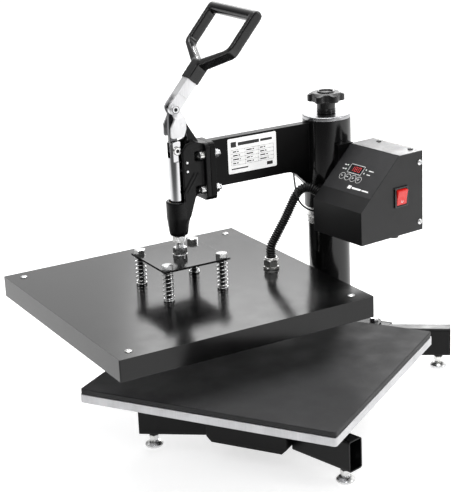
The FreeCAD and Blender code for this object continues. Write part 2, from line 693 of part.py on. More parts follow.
def make_handle():
    """The black D handle: a socket over the bar, two arms that spread, and a round grip."""
    socket = side_plate(lever_outline([(46, -10.5), (46, 10.5), (78, 10.5), (78, -10.5)]), -10, 10)
    bar_hole = side_plate(lever_outline([(40, -9.02), (40, 9.02), (75.1, 9.02), (75.1, -9.02)]), -8.15, 8.15)
    half = d.grip_half
    thick = 8
    end = d.lever_length + 8.5
    outer = [(-10, 70), (-half, 100, 14), (-half, end), (-half + thick, end), (-half + thick, 104, 10),
             (-5, 79.5), (5, 79.5), (half - thick, 104, 10), (half - thick, end), (half, end),
             (half, 100, 14), (10, 70)]
    lean = math.radians(d.lever_lean)
    along = Vector(0, -math.cos(lean), math.sin(lean))
    face_turn = Rotation(Vector(1, 0, 0), along, Vector(1, 0, 0).cross(along), "XYZ")
    normal = Vector(1, 0, 0).cross(along)
    origin = Vector(0, -link_pin[0], link_pin[1]).sub(normal.multiply(8.5))
    frame = plate(rounded(outer), 17, Placement(origin, face_turn))
    reach, height = lever_point(d.lever_length)
    rounding = fuse(side_rod(8.5, -70, 70, reach, height),
                    side_plate(lever_outline([(40, -8.5), (40, 8.5), (d.lever_length, 8.5),
                                              (d.lever_length, -8.5)]), -70, 70))
    grip = side_rod(8.5, -half + 4, half - 4, reach, height)
    node("handle", cut(fuse(socket, common(frame, rounding), grip), bar_hole), ARM_FRAME)


def make_link():
    """A bowed link between the plunger's fork and the lever."""
    (x0, z0), (x1, z1) = plunger_pin, link_pin
    bow = [(x0 - 7, z0 + 1), (x0 - 1, (z0 + z1) / 2, 40), (x1 - 6.9, z1 - 1), (x1 - 3, z1 + 3),
           (x1 + 6.9, z1 - 1), (x1 + 7.5, (z0 + z1) / 2 + 2, 40), (x0 + 7, z0 + 1), (x0, z0 - 3)]
    bar = side_plate(bow, -d.link_thick / 2, d.link_thick / 2)
    eyes = [side_rod(7.2, -d.link_thick / 2, d.link_thick / 2, *pin) for pin in (plunger_pin, link_pin)]
    holes = [side_rod("pin_radius + running", -10, 10, *pin) for pin in (plunger_pin, link_pin)]
    node("toggle_link", cut(fuse(bar, *eyes), *holes), ARM_FRAME)


def make_plunger():
    reach = d.arm_reach
    low = 297
    shaft = rod("plunger_radius", 434.5 - low, 0, -reach, low)
    flats = [block(6, 30, 40, side * 11, -reach, 405) for side in (-1, 1)]
    slot = block(8.6, 30, 40, 0, -reach, 411)
    crown = side_rod(13.5, -12, 12, *plunger_pin)
    body_zone = fuse(crown, block(30, 30, 120, 0, -reach, low - 5))
    pin_hole = side_rod("pin_radius", -15, 15, *plunger_pin)
    stud_hole = rod(6, 22, 0, -reach, low - 2)
    node("plunger", cut(common(shaft, body_zone), slot, pin_hole, stud_hole, *flats), ARM_FRAME)
    shank = side_rod("pin_radius", -9.5, 8, *plunger_pin)
    head = side_rod(6.2, 8, 10.5, *plunger_pin)
    clip = cut(side_rod(5.8, -8.9, -8.1, *plunger_pin), side_rod(3.9, -9.5, -7.5, *plunger_pin))
    node("plunger_pin", fuse(shank, head, clip), ARM_FRAME)
    stud = rod(6, 317 - 250, 0, -reach, 250)
    node("spindle_stud", stud, ARM_FRAME)
    levels = [(284, 9.5), (266, 10), (250, 9.8)]
    nuts = [cut(hexagon(18, tall, 0, -reach, z), rod(6, tall + 2, 0, -reach, z - 1)) for z, tall in levels]
    nuts.append(cut(rod(11, 2.8, 0, -reach, d.spring_plate_top + 0.1), rod(6.1, 6, 0, -reach, 262)))
    node("spindle_nuts", group(nuts), ARM_FRAME)
    side = d.spring_plate_side
    body = doc.addObject("PartDesign::Body", "Body")
    holes = [ring_edge(4.6, x, y - reach) for x, y in square_pattern(d.spring_spacing, d.spring_spacing)]
    pad(body, rectangle(side, side, 2, 0, -reach) + holes + [ring_edge(6.1, 0, -reach)],
        "spring_plate_thick")
    body.Placement = at(0, 0, d.spring_plate_top - d.spring_plate_thick)
    node("spring_plate", body, ARM_FRAME)


# ---------------------------------------------------------------------------------------------
# heated platen

SCREW_ACROSS = 362
SCREW_ALONG = 352
GLAND = (11.5, -112.5)
GLAND_TOP = 233.5


def spring_places():
    return [(x, y - d.arm_reach) for x, y in square_pattern(d.spring_spacing, d.spring_spacing)]


def cover_screw_places():
    return [(x, y - d.arm_reach) for x, y in square_pattern(SCREW_ACROSS, SCREW_ALONG)]


def element_shape(radius, height):
    """A serpentine of straight runs and half-circle bends, lying flat in the block."""
    runs = 8
    pitch = 44.0
    half = 150.0
    first = -d.arm_reach - pitch * (runs - 1) / 2
    edges = []
    for i in range(runs):
        y = first + i * pitch
        sign = 1 if i % 2 == 0 else -1
        start = Vector(-sign * half, y, height)
        end = Vector(sign * half, y, height)
        edges.append(Part.LineSegment(start, end).toShape())
        if i < runs - 1:
            top = Vector(sign * (half + pitch / 2), y + pitch / 2, height)
            edges.append(Part.Arc(end, top, Vector(sign * half, y + pitch, height)).toShape())
    path = Part.Wire(edges)
    section = Part.Wire(Part.Circle(Vector(-half, first, height), Vector(1, 0, 0), radius).toShape())
    return path.makePipeShell([section], True, False)


def spring_shape(x, y, low, high):
    """A closed-end compression spring: a helix swept by its wire."""
    wire = d.spring_wire
    tall = high - low - 2 * wire - 0.2
    helix = Part.makeHelix(tall / 9.0, tall, d.spring_radius)
    helix.translate(Vector(x, y, low + wire + 0.1))
    start = Vector(x + d.spring_radius, y, low + wire + 0.1)
    section = Part.Wire(Part.Circle(start, Vector(0, 1, 0), wire).toShape())
    return Part.Wire(helix).makePipeShell([section], True, True)


def make_platen():
    y = -d.arm_reach
    shell = doc.addObject("PartDesign::Body", "Body")
    pad(shell, rectangle(d.cover_across, d.cover_along, 2, 0, y), "cover_height")
    pocket(shell, rectangle(d.cover_across - 2 * d.cover_sheet, d.cover_along - 2 * d.cover_sheet, 1, 0, y),
           "cover_height - cover_sheet")
    shell.Placement = at(0, 0, cover_bottom)
    holes = [rod(4.1, 10, px, py, cover_top - 5) for px, py in spring_places()]
    holes += [rod(2.1, 10, px, py, cover_top - 5) for px, py in cover_screw_places()]
    holes.append(rod(8.6, 10, GLAND[0], GLAND[1], cover_top - 5))
    node("platen_cover", cut(shell, *holes), ARM_FRAME)
    core = plate(rectangle(d.block_side, d.block_side, 4, 0, y), "block_thick", at(0, 0, block_bottom))
    drilled = [rod(4.1, 16, px, py, block_bottom + 7) for px, py in spring_places()]
    drilled += [rod(2.1, 12, px, py, block_bottom + 10) for px, py in cover_screw_places()]
    drilled.append(rod(2.6, 60, 0, y, block_bottom + 15, Rotation(Vector(1, 0, 0), 90)))
    groove = feature(element_shape(3.6, block_bottom + 8))
    node("heating_block", cut(core, groove, *drilled), ARM_FRAME)
    node("heating_element", feature(element_shape(3.5, block_bottom + 8)), ARM_FRAME)
    low = block_bottom + d.block_thick
    board = block("block_side", "block_side", cover_top - d.cover_sheet - low - 0.4, 0, y, low + 0.2)
    board_holes = [rod(4.3, 20, px, py, low - 5) for px, py in spring_places()]
    board_holes += [rod(2.3, 20, px, py, low - 5) for px, py in cover_screw_places()]
    board_holes += [rod(10, 20, GLAND[0], GLAND[1], low - 5), rod(11, 20, 60, y + 70, low - 5)]
    node("insulation_board", cut(board, *board_holes), ARM_FRAME)
    probe = rod(2.5, 40, 0, y - 15, block_bottom + 15, Rotation(Vector(1, 0, 0), 90))
    cutout = fuse(rod(10, 2, 60, y + 70, low + 0.1), rod(8, 5, 60, y + 70, low + 2))
    node("temperature_sensors", group([probe, cutout]), ARM_FRAME)
    screws = [pan_screw(5.2, 2.6, 2, 12.5, at(px, py, cover_top)) for px, py in cover_screw_places()]
    node("cover_screws", group(screws), ARM_FRAME)
    bolts = []
    for px, py in spring_places():
        head = common(hexagon(15, 6.4, px, py, d.spring_plate_top),
                      cone(13, 8.2, 6.4, px, py, d.spring_plate_top))
        bolts.append(fuse(head, rod(4, d.spring_plate_top - block_bottom - 8, px, py, block_bottom + 8)))
    node("spring_bolts", group(bolts), ARM_FRAME)
    high = d.spring_plate_top - d.spring_plate_thick
    node("pressure_springs", feature(Part.Compound([spring_shape(px, py, cover_top, high)
                                                    for px, py in spring_places()])), ARM_FRAME)
    gx, gy = GLAND
    gland = fuse(hexagon(21, GLAND_TOP - 4 - cover_top, gx, gy, cover_top),
                 rod(10, GLAND_TOP - cover_top, gx, gy, cover_top), rod(8.5, 6, gx, gy, cover_top - 5))
    node("conduit_gland", cut(gland, rod("conduit_radius + 0.35", 40, gx, gy, cover_top - 10)), ARM_FRAME)


# ---------------------------------------------------------------------------------------------
# control box

SLOPE_LENGTH = math.hypot(d.box_ahead - d.box_top_ahead, d.box_top - d.box_front_top)
SLOPE_ANGLE = math.degrees(math.atan2(d.box_top - d.box_front_top, d.box_ahead - d.box_top_ahead))
# Panel view: local x runs across the box, local y up the slope, local z out of the slope.
SLOPE_TURN = Rotation(Vector(1, 0, 0), SLOPE_ANGLE)


def on_slope(across, down, out=0.0):
    """A place on the sloping panel: across from the inner wall, down from the top edge."""
    lean = math.radians(SLOPE_ANGLE)
    ahead = d.box_top_ahead + down * math.cos(lean) + out * math.sin(lean)
    height = d.box_top - down * math.sin(lean) + out * math.cos(lean)
    return at(d.box_inner + across, -ahead, height, SLOPE_TURN)


def slope_rod(radius, across, down, low, high):
    thing = primitive("Cylinder", on_slope(across, down, low), Radius=radius, Height=high - low)
    return thing


def slope_plate(width, depth, across, down, low, high, radius=1.0):
    """A plate on the slope whose middle is at across and down."""
    return plate(rectangle(width, depth, radius), high - low, on_slope(across, down, low))


BUTTONS = [("button_set", 25.6), ("button_down", 37.6), ("button_up", 49.5), ("button_timer", 61.4)]
BUTTON_DOWN = 54.4
LEDS = [(24.6, 35.6), (24.6, 42.6), (64.6, 36.2), (64.6, 42.8)]
WINDOW = (44.4, 39.2)
ROCKER = (-11.0, 333.5)
BRACKET_BOLTS = (300, 372)
CONDUIT_ENTRY = (45.3, 324.6)
LEAD_ENTRY = (30.0, 293.0)


def box_outline(margin, behind):
    lean = math.radians(SLOPE_ANGLE)
    front = d.box_ahead - margin
    front_top = d.box_front_top - margin * math.tan(math.radians(90 - SLOPE_ANGLE) / 2)
    top = d.box_top - margin
    top_ahead = d.box_top_ahead - margin * math.tan(lean / 2)
    low = d.box_bottom + margin
    return [(-behind, low), (front, low), (front, front_top), (top_ahead, top), (-behind, top)]


def wall_rod(radius, ahead, height, across_low, across_high):
    """A rod across the control box."""
    return rod(radius, across_high - across_low, across_high, -ahead, height, SIDE_TURN)


def make_box_shell():
    outer_side = d.box_inner + d.box_width
    sheet_thick = d.cover_sheet
    outer = plate(rounded(box_outline(0, d.box_behind)), "box_width", at(outer_side, 0, 0, SIDE_TURN))
    inner = plate(rounded(box_outline(sheet_thick, d.box_behind + 5)), "box_width - 2 * cover_sheet",
                  at(outer_side - sheet_thick, 0, 0, SIDE_TURN))
    tools = [inner]
    tools.append(slope_plate(27, 12.5, WINDOW[0], WINDOW[1], -5, 5))
    tools += [slope_rod(4.4, across, BUTTON_DOWN, -5, 5) for name, across in BUTTONS]
    tools += [slope_rod(1.6, across, down, -5, 5) for across, down in LEDS]
    tools.append(block(12, 22, 26, outer_side, -ROCKER[0], ROCKER[1] - 13))
    tools.append(wall_rod(9.8, *CONDUIT_ENTRY, d.box_inner - 5, d.box_inner + 5))
    tools.append(wall_rod(1.6, *LEAD_ENTRY, d.box_inner - 5, d.box_inner + 5))
    tools += [wall_rod(2.1, -48, height, d.box_inner - 5, outer_side + 5) for height in (288, 378)]
    tools += [rod(2.1, 10, d.box_inner + across, 45, d.box_top - 5) for across in (23, 91)]
    tools.append(rod(7.2, 10, d.box_inner + 88, 14, d.box_bottom - 5))
    tools += [wall_rod(3.1, 0, height, d.box_inner - 5, d.box_inner + 5) for height in BRACKET_BOLTS]
    node("control_box_shell", cut(outer, *tools), BOX_FRAME)


def make_box_back():
    outer_side = d.box_inner + d.box_width
    middle = d.box_inner + d.box_width / 2
    thick = d.cover_sheet
    tall = d.box_top - d.box_bottom - 2 * thick - 0.4
    wide = d.box_width - 2 * thick - 0.4
    panel = block(wide, thick, tall, middle, d.box_behind - thick, d.box_bottom + thick + 0.2)
    flanges = [block(thick, 14, tall, middle + side * (wide - thick) / 2, d.box_behind - 7 - thick / 2,
                     d.box_bottom + thick + 0.2) for side in (-1, 1)]
    top_flange = block(wide, 14, thick, middle, d.box_behind - 7 - thick / 2, d.box_top - 2 * thick - 0.2)
    holes = [wall_rod(2.1, -48, height, d.box_inner - 5, outer_side + 5) for height in (288, 378)]
    holes += [rod(2.1, 10, d.box_inner + across, 45, d.box_top - 8) for across in (23, 91)]
    node("control_box_back", cut(fuse(panel, top_flange, *flanges), *holes), BOX_FRAME)
    to_right = Rotation(Vector(0, 1, 0), 90)
    to_left = Rotation(Vector(0, 1, 0), -90)
    screws = []
    for height in (288, 378):
        screws.append(pan_screw(4.2, 2.4, 2, 6, at(outer_side, 48, height, to_right)))
        screws.append(pan_screw(4.2, 2.4, 2, 6, at(d.box_inner, 48, height, to_left)))
    for across in (23, 91):
        screws.append(pan_screw(3.8, 1.6, 2, 6, at(d.box_inner + across, 45, d.box_top)))
    for height in BRACKET_BOLTS:
        head = hexagon(10, 4, d.box_inner + d.cover_sheet + 4, 0, height, SIDE_TURN)
        screws.append(fuse(head, wall_rod(3, 0, height, 37.2, d.box_inner + d.cover_sheet + 1)))
    node("box_screws", group(screws), BOX_FRAME)


def make_panel():
    node("display_window", slope_plate(26.4, 11.9, WINDOW[0], WINDOW[1], -1.2, 0.6), BOX_FRAME)
    for name, across in BUTTONS:
        cap = fuse(slope_rod(4.1, across, BUTTON_DOWN, -2.0, 1.1), slope_rod(5, across, BUTTON_DOWN, -4, -3))
        stem = slope_rod(1.5, across, BUTTON_DOWN, -6, -2)
        node(name, fuse(cap, stem), BOX_FRAME)
    board = slope_plate(76, 46, WINDOW[0], 44, -11, -9.4)
    digits = slope_plate(24, 10.5, WINDOW[0], WINDOW[1], -9.4, -1.3)
    lamps = [slope_rod(1.5, across, down, -9.4, 0.8) for across, down in LEDS]
    switches = [slope_rod(2.6, across, BUTTON_DOWN, -9.4, -6.9) for name, across in BUTTONS]
    node("display_board", group([board, digits] + lamps + switches), BOX_FRAME)


def make_rocker():
    outer_side = d.box_inner + d.box_width
    ahead, height = ROCKER
    frame = block(2.4, 26, 30, outer_side + 1.2, -ahead, height - 15)
    body = block(14, 21.6, 25.6, outer_side - 6.9, -ahead, height - 12.8)
    opening = block(13, 19.4, 24.8, outer_side - 1.8, -ahead, height - 12.4)
    node("rocker_bezel", cut(fuse(frame, body), opening), BOX_FRAME)
    outline = [(outer_side - 2, height - 11.6), (outer_side + 2.2, height - 11.8, 1),
               (outer_side + 3.6, height, 3), (outer_side + 6.2, height + 10.4, 1.2),
               (outer_side - 1, height + 11.9)]
    rocker = plate(rounded(outline), 18.6, at(0, -ahead + 9.3, 0, FRONT_TURN))
    node("rocker", rocker, BOX_FRAME)


def make_box_insides():
    inner = d.box_inner
    board = block(60, 74, 1.6, inner + 60, 4, 284)
    relay = block(30, 24, 22, inner + 50, 24, 285.6)
    transformer = fuse(block(34, 28, 26, inner + 66, -18, 285.6), block(20, 38, 18, inner + 66, -18, 289))
    node("power_board", group([board, relay, transformer]), BOX_FRAME)
    node("cord_gland", cut(fuse(rod(7, 9, inner + 88, 14, d.box_bottom - 8),
                                rod(9.5, 4, inner + 88, 14, d.box_bottom - 4)),
                           rod(3.6, 30, inner + 88, 14, d.box_bottom - 15)), BOX_FRAME)


def make_box_bracket():
    bar = block(14, 28, 112, d.box_inner - 7, 0, 284)
    holes = [wall_rod(3.1, 0, height, d.box_inner - 20, d.box_inner + 5) for height in BRACKET_BOLTS]
    node("box_bracket", cut(bar, rod("sleeve_radius", 200, 0, 0, 250), *holes), BOX_FRAME)


# ---------------------------------------------------------------------------------------------
# leads

def box_to_arm(across, ahead, height):
    """A control-box place in the arm's frame."""
    turn = Rotation(UP, d.box_turn)
    return turn.multVec(Vector(across, -ahead, height))


def make_leads():
    gx, gy = GLAND
    route = [(gx, gy, cover_top + 6), (gx, gy, 250), (13.2, -103.7, 264.5), (14.3, -94.7, 278.5),
             (15.2, -86.3, 292), (16.1, -78.5, 306), (17.6, -71.3, 320.5), (20.5, -64.5, 331),
             (26.5, -57, 336), (34, -50, 334.5), (42, -44, 328.5), (52, -39.2, 323)]
    node("conduit", feature(tube_shape(route, d.conduit_radius, "conduit")), ARM_FRAME)
    end = box_to_arm(d.box_inner + 0.2, *LEAD_ENTRY)
    lead = [(4, -63.5, 352.3), (13, -68, 346), (25, -74, 337), (31, -75.5, 324), (34.5, -69, 311),
            (35.5, -56, 301.5), (33, -44, 297), (33.5, -33, 294.5), (38.5, -26.8, 293.2), tuple(end)]
    node("sensor_lead", feature(tube_shape(lead, d.lead_radius, "sensor lead")), ARM_FRAME)


# ---------------------------------------------------------------------------------------------

def main():
    make_beam()
    make_legs()
    make_feet()
    foot_bolts = make_column()
    make_lower_platen(foot_bolts)
    make_lift()
    make_knob()
    make_sleeve()
    make_arm_bar()
    make_toggle_body()
    make_lever()
    make_handle()
    make_link()
    make_plunger()
    make_platen()
    make_box_shell()
    make_box_back()
    make_panel()
    make_rocker()
    make_box_insides()
    make_box_bracket()
    make_leads()
    doc.recompute()
    for thing in doc.Objects:
        if "Invalid" in thing.State or "Error" in thing.State:
            raise RuntimeError("%s (%s) failed: %s" % (thing.Name, thing.Label, thing.State))
    for thing in nodes:
        if thing.Shape.isNull() or not thing.Shape.isValid() or not thing.Shape.Solids:
            raise RuntimeError("%s has no valid shape" % thing.Label)
    os.makedirs("parts", exist_ok=True)
    for thing in nodes:
        thing.Shape.exportStep("parts/%s.step" % thing.Label)
    print("%d nodes" % len(nodes))


main()
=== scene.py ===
import json
import math

import bmesh
import bpy
from mathutils import Matrix, Vector


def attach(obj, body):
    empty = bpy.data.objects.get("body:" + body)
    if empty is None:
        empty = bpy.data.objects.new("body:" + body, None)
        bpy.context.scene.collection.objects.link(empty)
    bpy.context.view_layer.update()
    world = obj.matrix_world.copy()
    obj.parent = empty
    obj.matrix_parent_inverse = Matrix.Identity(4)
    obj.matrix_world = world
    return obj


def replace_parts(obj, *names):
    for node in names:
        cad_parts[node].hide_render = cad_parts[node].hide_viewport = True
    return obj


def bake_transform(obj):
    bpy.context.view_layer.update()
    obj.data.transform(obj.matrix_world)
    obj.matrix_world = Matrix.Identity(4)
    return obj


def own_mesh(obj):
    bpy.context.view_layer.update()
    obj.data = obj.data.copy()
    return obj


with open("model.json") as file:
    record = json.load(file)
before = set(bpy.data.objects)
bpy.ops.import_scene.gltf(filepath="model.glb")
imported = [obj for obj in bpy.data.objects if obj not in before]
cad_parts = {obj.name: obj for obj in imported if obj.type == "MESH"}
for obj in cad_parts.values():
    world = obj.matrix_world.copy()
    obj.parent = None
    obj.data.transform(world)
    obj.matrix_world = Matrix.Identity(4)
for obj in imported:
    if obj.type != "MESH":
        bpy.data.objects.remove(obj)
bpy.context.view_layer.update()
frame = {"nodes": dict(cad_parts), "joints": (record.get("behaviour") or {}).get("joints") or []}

# ---------------------------------------------------------------------------------------------
# places worked out from the frame

MM = 0.001
JOINTS = {joint["name"]: joint for joint in frame["joints"]}
ARM_TURN = -math.radians(JOINTS["arm_swing"]["range_deg"][1])
ARM = Matrix.Rotation(ARM_TURN, 4, "Z")
BOX_BACKWARD = Vector(JOINTS["rocker_turn"]["axis"])
BOX = Matrix.Rotation(math.atan2(BOX_BACKWARD.y, BOX_BACKWARD.x) - math.pi / 2, 4, "Z")
WORLD = Matrix.Identity(4)
SAME_POINT = 0.00002


def box_in(node, place):
    """A CAD node's lowest and highest corners in the frame of place, in metres."""
    inverse = place.inverted()
    points = [inverse @ v.co for v in frame["nodes"][node].data.vertices]
    low = Vector([min(p[i] for p in points) for i in range(3)])
    high = Vector([max(p[i] for p in points) for i in range(3)])
    return low, high


def solids_in(node, place):
    """The (lowest, highest) corners of each separate solid of a CAD node, in the frame of place."""
    mesh = bmesh.new()
    mesh.from_mesh(frame["nodes"][node].data)
    bmesh.ops.remove_doubles(mesh, verts=mesh.verts, dist=SAME_POINT)
    inverse = place.inverted()
    seen = set()
    found = []
    for start in mesh.verts:
        if start in seen:
            continue
        seen.add(start)
        stack = [start]
        points = []
        while stack:
            vertex = stack.pop()
            points.append(inverse @ vertex.co)
            for edge in vertex.link_edges:
                other = edge.other_vert(vertex)
                if other not in seen:
                    seen.add(other)
                    stack.append(other)
        low = Vector([min(p[i] for p in points) for i in range(3)])
        high = Vector([max(p[i] for p in points) for i in range(3)])
        found.append((low, high))
    mesh.free()
    return found


# ---------------------------------------------------------------------------------------------
# camera, light and floor

CAMERA_PLACE = (0.835, -1.951, 0.926)
CAMERA_YAW = 27.49
CAMERA_PITCH = 18.14
CAMERA_ROLL = -2.69
CAMERA_LENS = 105.35
SENSOR_WIDTH = 36.0
WHITE = (1.0, 1.0, 1.0, 1.0)
# the world's strength: the direction's Z or Y from and to, then the strength from and to
OVERHEAD_STRENGTH = (0.05, 0.75, 0.07, 0.50)
BEHIND_STRENGTH = (0.2, 0.95, 0.0, 1.30)
# the floor's painted light and shade, as colour and glow: its Y from and to in metres, then the value from
# and to
FLOOR_REACH = 30.0
FLOOR_PAINTED_LIGHT = (-1.60, -0.62, 0.06, 0.66)
MIDDLE = (0.0, -0.15, 0.3)
# name, place, what it points at, width, height, watts
LIGHTS = [
    ("overhead_light", (-0.2, 0.1, 2.3), MIDDLE, 1.7, 1.7, 50.0),
    ("rear_light", (-1.7, 3.3, 2.05), (0.0, 0.0, 0.25), 1.2, 0.9, 8.0),
    ("box_light", (-0.85, 3.3, 1.29), (0.19, 0.0, 0.395), 0.42, 0.36, 15.0),
    ("front_light", (1.5, -2.6, 2.3), MIDDLE, 0.9, 0.7, 20.0),
    ("side_light", (2.4, 0.2, 1.3), MIDDLE, 0.35, 1.6, 14.0),
    ("left_light", (-2.2, -1.0, 1.5), MIDDLE, 1.1, 1.1, 3.0),
]


def place_camera():
    yaw = math.radians(CAMERA_YAW)
    pitch = math.radians(CAMERA_PITCH)
    roll = math.radians(CAMERA_ROLL)
    forward = Vector((-math.sin(yaw) * math.cos(pitch), math.cos(yaw) * math.cos(pitch), -math.sin(pitch)))
    level_right = Vector((math.cos(yaw), math.sin(yaw), 0.0))
    level_up = level_right.cross(forward)
    right = math.cos(roll) * level_right + math.sin(roll) * level_up
    up = math.cos(roll) * level_up - math.sin(roll) * level_right
    data = bpy.data.cameras.new("camera")
    data.lens = CAMERA_LENS
    data.sensor_width = SENSOR_WIDTH
    camera = bpy.data.objects.new("camera", data)
    turn = Matrix((right, up, -forward)).transposed().to_4x4()
    camera.matrix_world = Matrix.Translation(CAMERA_PLACE) @ turn
    bpy.context.scene.collection.objects.link(camera)
    bpy.context.scene.camera = camera


def softbox(name, place, target, width, height, power):
    data = bpy.data.lights.new(name, "AREA")
    data.shape = "RECTANGLE"
    data.size = width
    data.size_y = height
    data.energy = power
    light = bpy.data.objects.new(name, data)
    light.location = place
    light.rotation_mode = "QUATERNION"
    light.rotation_quaternion = (Vector(target) - Vector(place)).to_track_quat("-Z", "Y")
    bpy.context.scene.collection.objects.link(light)


def coordinates(tree, kind):
    """The X, Y and Z sockets of one of the texture coordinates."""
    place = tree.nodes.new("ShaderNodeTexCoord").outputs[kind]
    split = tree.nodes.new("ShaderNodeSeparateXYZ")
    tree.links.new(place, split.inputs["Vector"])
    return split.outputs


def map_range(tree, value, start, stop, low, high, kind="SMOOTHSTEP"):
    """A socket that goes from low to high as value goes from start to stop."""
    node = tree.nodes.new("ShaderNodeMapRange")
    node.interpolation_type = kind
    node.inputs["From Min"].default_value = start
    node.inputs["From Max"].default_value = stop
    node.inputs["To Min"].default_value = low
    node.inputs["To Max"].default_value = high
    tree.links.new(value, node.inputs["Value"])
    return node.outputs["Result"]


def studio_world():
    """A dim room: brighter overhead and near the horizon behind, dark at the sides and in front."""
    world = bpy.data.worlds.new("studio")
    world.use_nodes = True
    tree = world.node_tree
    background = tree.nodes["Background"]
    direction = coordinates(tree, "Generated")
    total = tree.nodes.new("ShaderNodeMath")
    total.operation = "ADD"
    tree.links.new(map_range(tree, direction["Z"], *OVERHEAD_STRENGTH), total.inputs[0])
    tree.links.new(map_range(tree, direction["Y"], *BEHIND_STRENGTH), total.inputs[1])
    background.inputs["Color"].default_value = WHITE
    tree.links.new(total.outputs["Value"], background.inputs["Strength"])
    bpy.context.scene.world = world


def make_floor():
    """A pale floor that isn't uniform: its glow is painted light, and in front, outside the rest view, it
    goes to dark grey as painted shade.
    """
    mesh = bpy.data.meshes.new("floor")
    corners = [(x * FLOOR_REACH, y * FLOOR_REACH, 0.0) for x, y in ((-1, -1), (1, -1), (1, 1), (-1, 1))]
    mesh.from_pydata(corners, [], [(0, 1, 2, 3)])
    floor = bpy.data.objects.new("floor", mesh)
    bpy.context.scene.collection.objects.link(floor)
    surface = bpy.data.materials.new("floor")
    surface.use_nodes = True
    tree = surface.node_tree
    shader = tree.nodes["Principled BSDF"]
    shader.inputs["Roughness"].default_value = 0.9
    shader.inputs["Specular IOR Level"].default_value = 0.1
    shader.inputs["Emission Color"].default_value = WHITE
    # colour and glow both follow Y: painted light behind, painted shade in front
    painted_light_and_shade = map_range(tree, coordinates(tree, "Object")["Y"], *FLOOR_PAINTED_LIGHT)
    tree.links.new(painted_light_and_shade, shader.inputs["Emission Strength"])
    tree.links.new(painted_light_and_shade, shader.inputs["Base Color"])
    mesh.materials.append(surface)


def studio():
    bpy.context.scene.view_settings.view_transform = "Standard"
    studio_world()
    for light in LIGHTS:
        softbox(*light)
    make_floor()


# ---------------------------------------------------------------------------------------------
# materials

MATERIALS = {}
# how alike the rounded and the true normal are, at a worn, painted-highlight edge and on a plain face
EDGE_LIKENESS = (0.86, 0.98)
# the middle part of a noise texture's values
NOISE_LOW = 0.3
NOISE_HIGH = 0.7


class Surface:
    """A Principled material and the few node shapes that its detail is made of."""

    def __init__(self, name, colour, roughness, metallic=0.0, specular=0.5, coat=0.0):
        self.material = bpy.data.materials.new(name)
        self.material.use_nodes = True
        self.tree = self.material.node_tree
        self.shader = self.tree.nodes["Principled BSDF"]
        self.colour = colour
        self.roughness = roughness
        self.normal = None
        self.shader.inputs["Base Color"].default_value = (*colour, 1.0)
        self.shader.inputs["Roughness"].default_value = roughness
        self.shader.inputs["Metallic"].default_value = metallic
        self.shader.inputs["Specular IOR Level"].default_value = specular
        self.shader.inputs["Coat Weight"].default_value = coat
        self.shader.inputs["Coat Roughness"].default_value = 0.1
        self.place = self.tree.nodes.new("ShaderNodeTexCoord").outputs["Object"]
        self.colour_out = None
        MATERIALS[name] = self.material

    def link(self, source, target):
        self.tree.links.new(source, target)

    def noise(self, scale, detail, roughness=0.5, stretch=(1.0, 1.0, 1.0)):
        mapping = self.tree.nodes.new("ShaderNodeMapping")
        mapping.inputs["Scale"].default_value = stretch
        self.link(self.place, mapping.inputs["Vector"])
        texture = self.tree.nodes.new("ShaderNodeTexNoise")
        texture.inputs["Scale"].default_value = scale
        texture.inputs["Detail"].default_value = detail
        texture.inputs["Roughness"].default_value = roughness
        self.link(mapping.outputs["Vector"], texture.inputs["Vector"])
        return texture.outputs["Fac"]

    def spread(self, value, low, high, start=NOISE_LOW, stop=NOISE_HIGH):
        """Map a value from start..stop to low..high."""
        return map_range(self.tree, value, start, stop, low, high, "LINEAR")

    def mix(self, share, first, second):
        """Mix two colours, each a value or a socket, by a socket from 0 to 1."""
        node = self.tree.nodes.new("ShaderNodeMix")
        node.data_type = "RGBA"
        self.link(share, node.inputs["Factor"])
        for socket, value in ((node.inputs["A"], first), (node.inputs["B"], second)):
            if isinstance(value, tuple):
                socket.default_value = (*value, 1.0)
            else:
                self.link(value, socket)
        return node.outputs["Result"]

    def vary_colour(self, share, other):
        self.colour_out = self.mix(share, self.colour_out or self.colour, other)
        self.link(self.colour_out, self.shader.inputs["Base Color"])

    def vary_roughness(self, value, low, high):
        self.link(self.spread(value, low, high), self.shader.inputs["Roughness"])

    def bump(self, height, depth, strength=1.0):
        node = self.tree.nodes.new("ShaderNodeBump")
        node.inputs["Strength"].default_value = strength
        node.inputs["Distance"].default_value = depth
        self.link(height, node.inputs["Height"])
        if self.normal is not None:
            self.link(self.normal, node.inputs["Normal"])
        self.normal = node.outputs["Normal"]
        self.link(self.normal, self.shader.inputs["Normal"])

    def edge_wear_and_highlight(self, colour):
        """Lighter colour along the edges, partly rubbed wear and partly a painted highlight, found where a
        rounded normal leaves the true one.
        """
        true_normal = self.tree.nodes.new("ShaderNodeNewGeometry").outputs["Normal"]
        rounded = self.tree.nodes.new("ShaderNodeBevel")
        rounded.samples = 4
        rounded.inputs["Radius"].default_value = 0.0007
        likeness = self.tree.nodes.new("ShaderNodeVectorMath")
        likeness.operation = "DOT_PRODUCT"
        self.link(true_normal, likeness.inputs[0])
        self.link(rounded.outputs["Normal"], likeness.inputs[1])
        edge = self.spread(likeness.outputs["Value"], 1.0, 0.0, *EDGE_LIKENESS)
        node = self.tree.nodes.new("ShaderNodeMath")
        node.operation = "MULTIPLY"
        self.link(edge, node.inputs[0])
        self.link(self.spread(self.noise(160.0, 4.0), 0.2, 0.9), node.inputs[1])
        self.vary_colour(node.outputs["Value"], colour)

    def flecks(self, scale, colour, start, stop):
        """Small sparse specks, such as dust, where the noise is over start."""
        speck = self.spread(self.noise(scale, 1.0), 0.0, 1.0, start, stop)
        self.vary_colour(speck, colour)


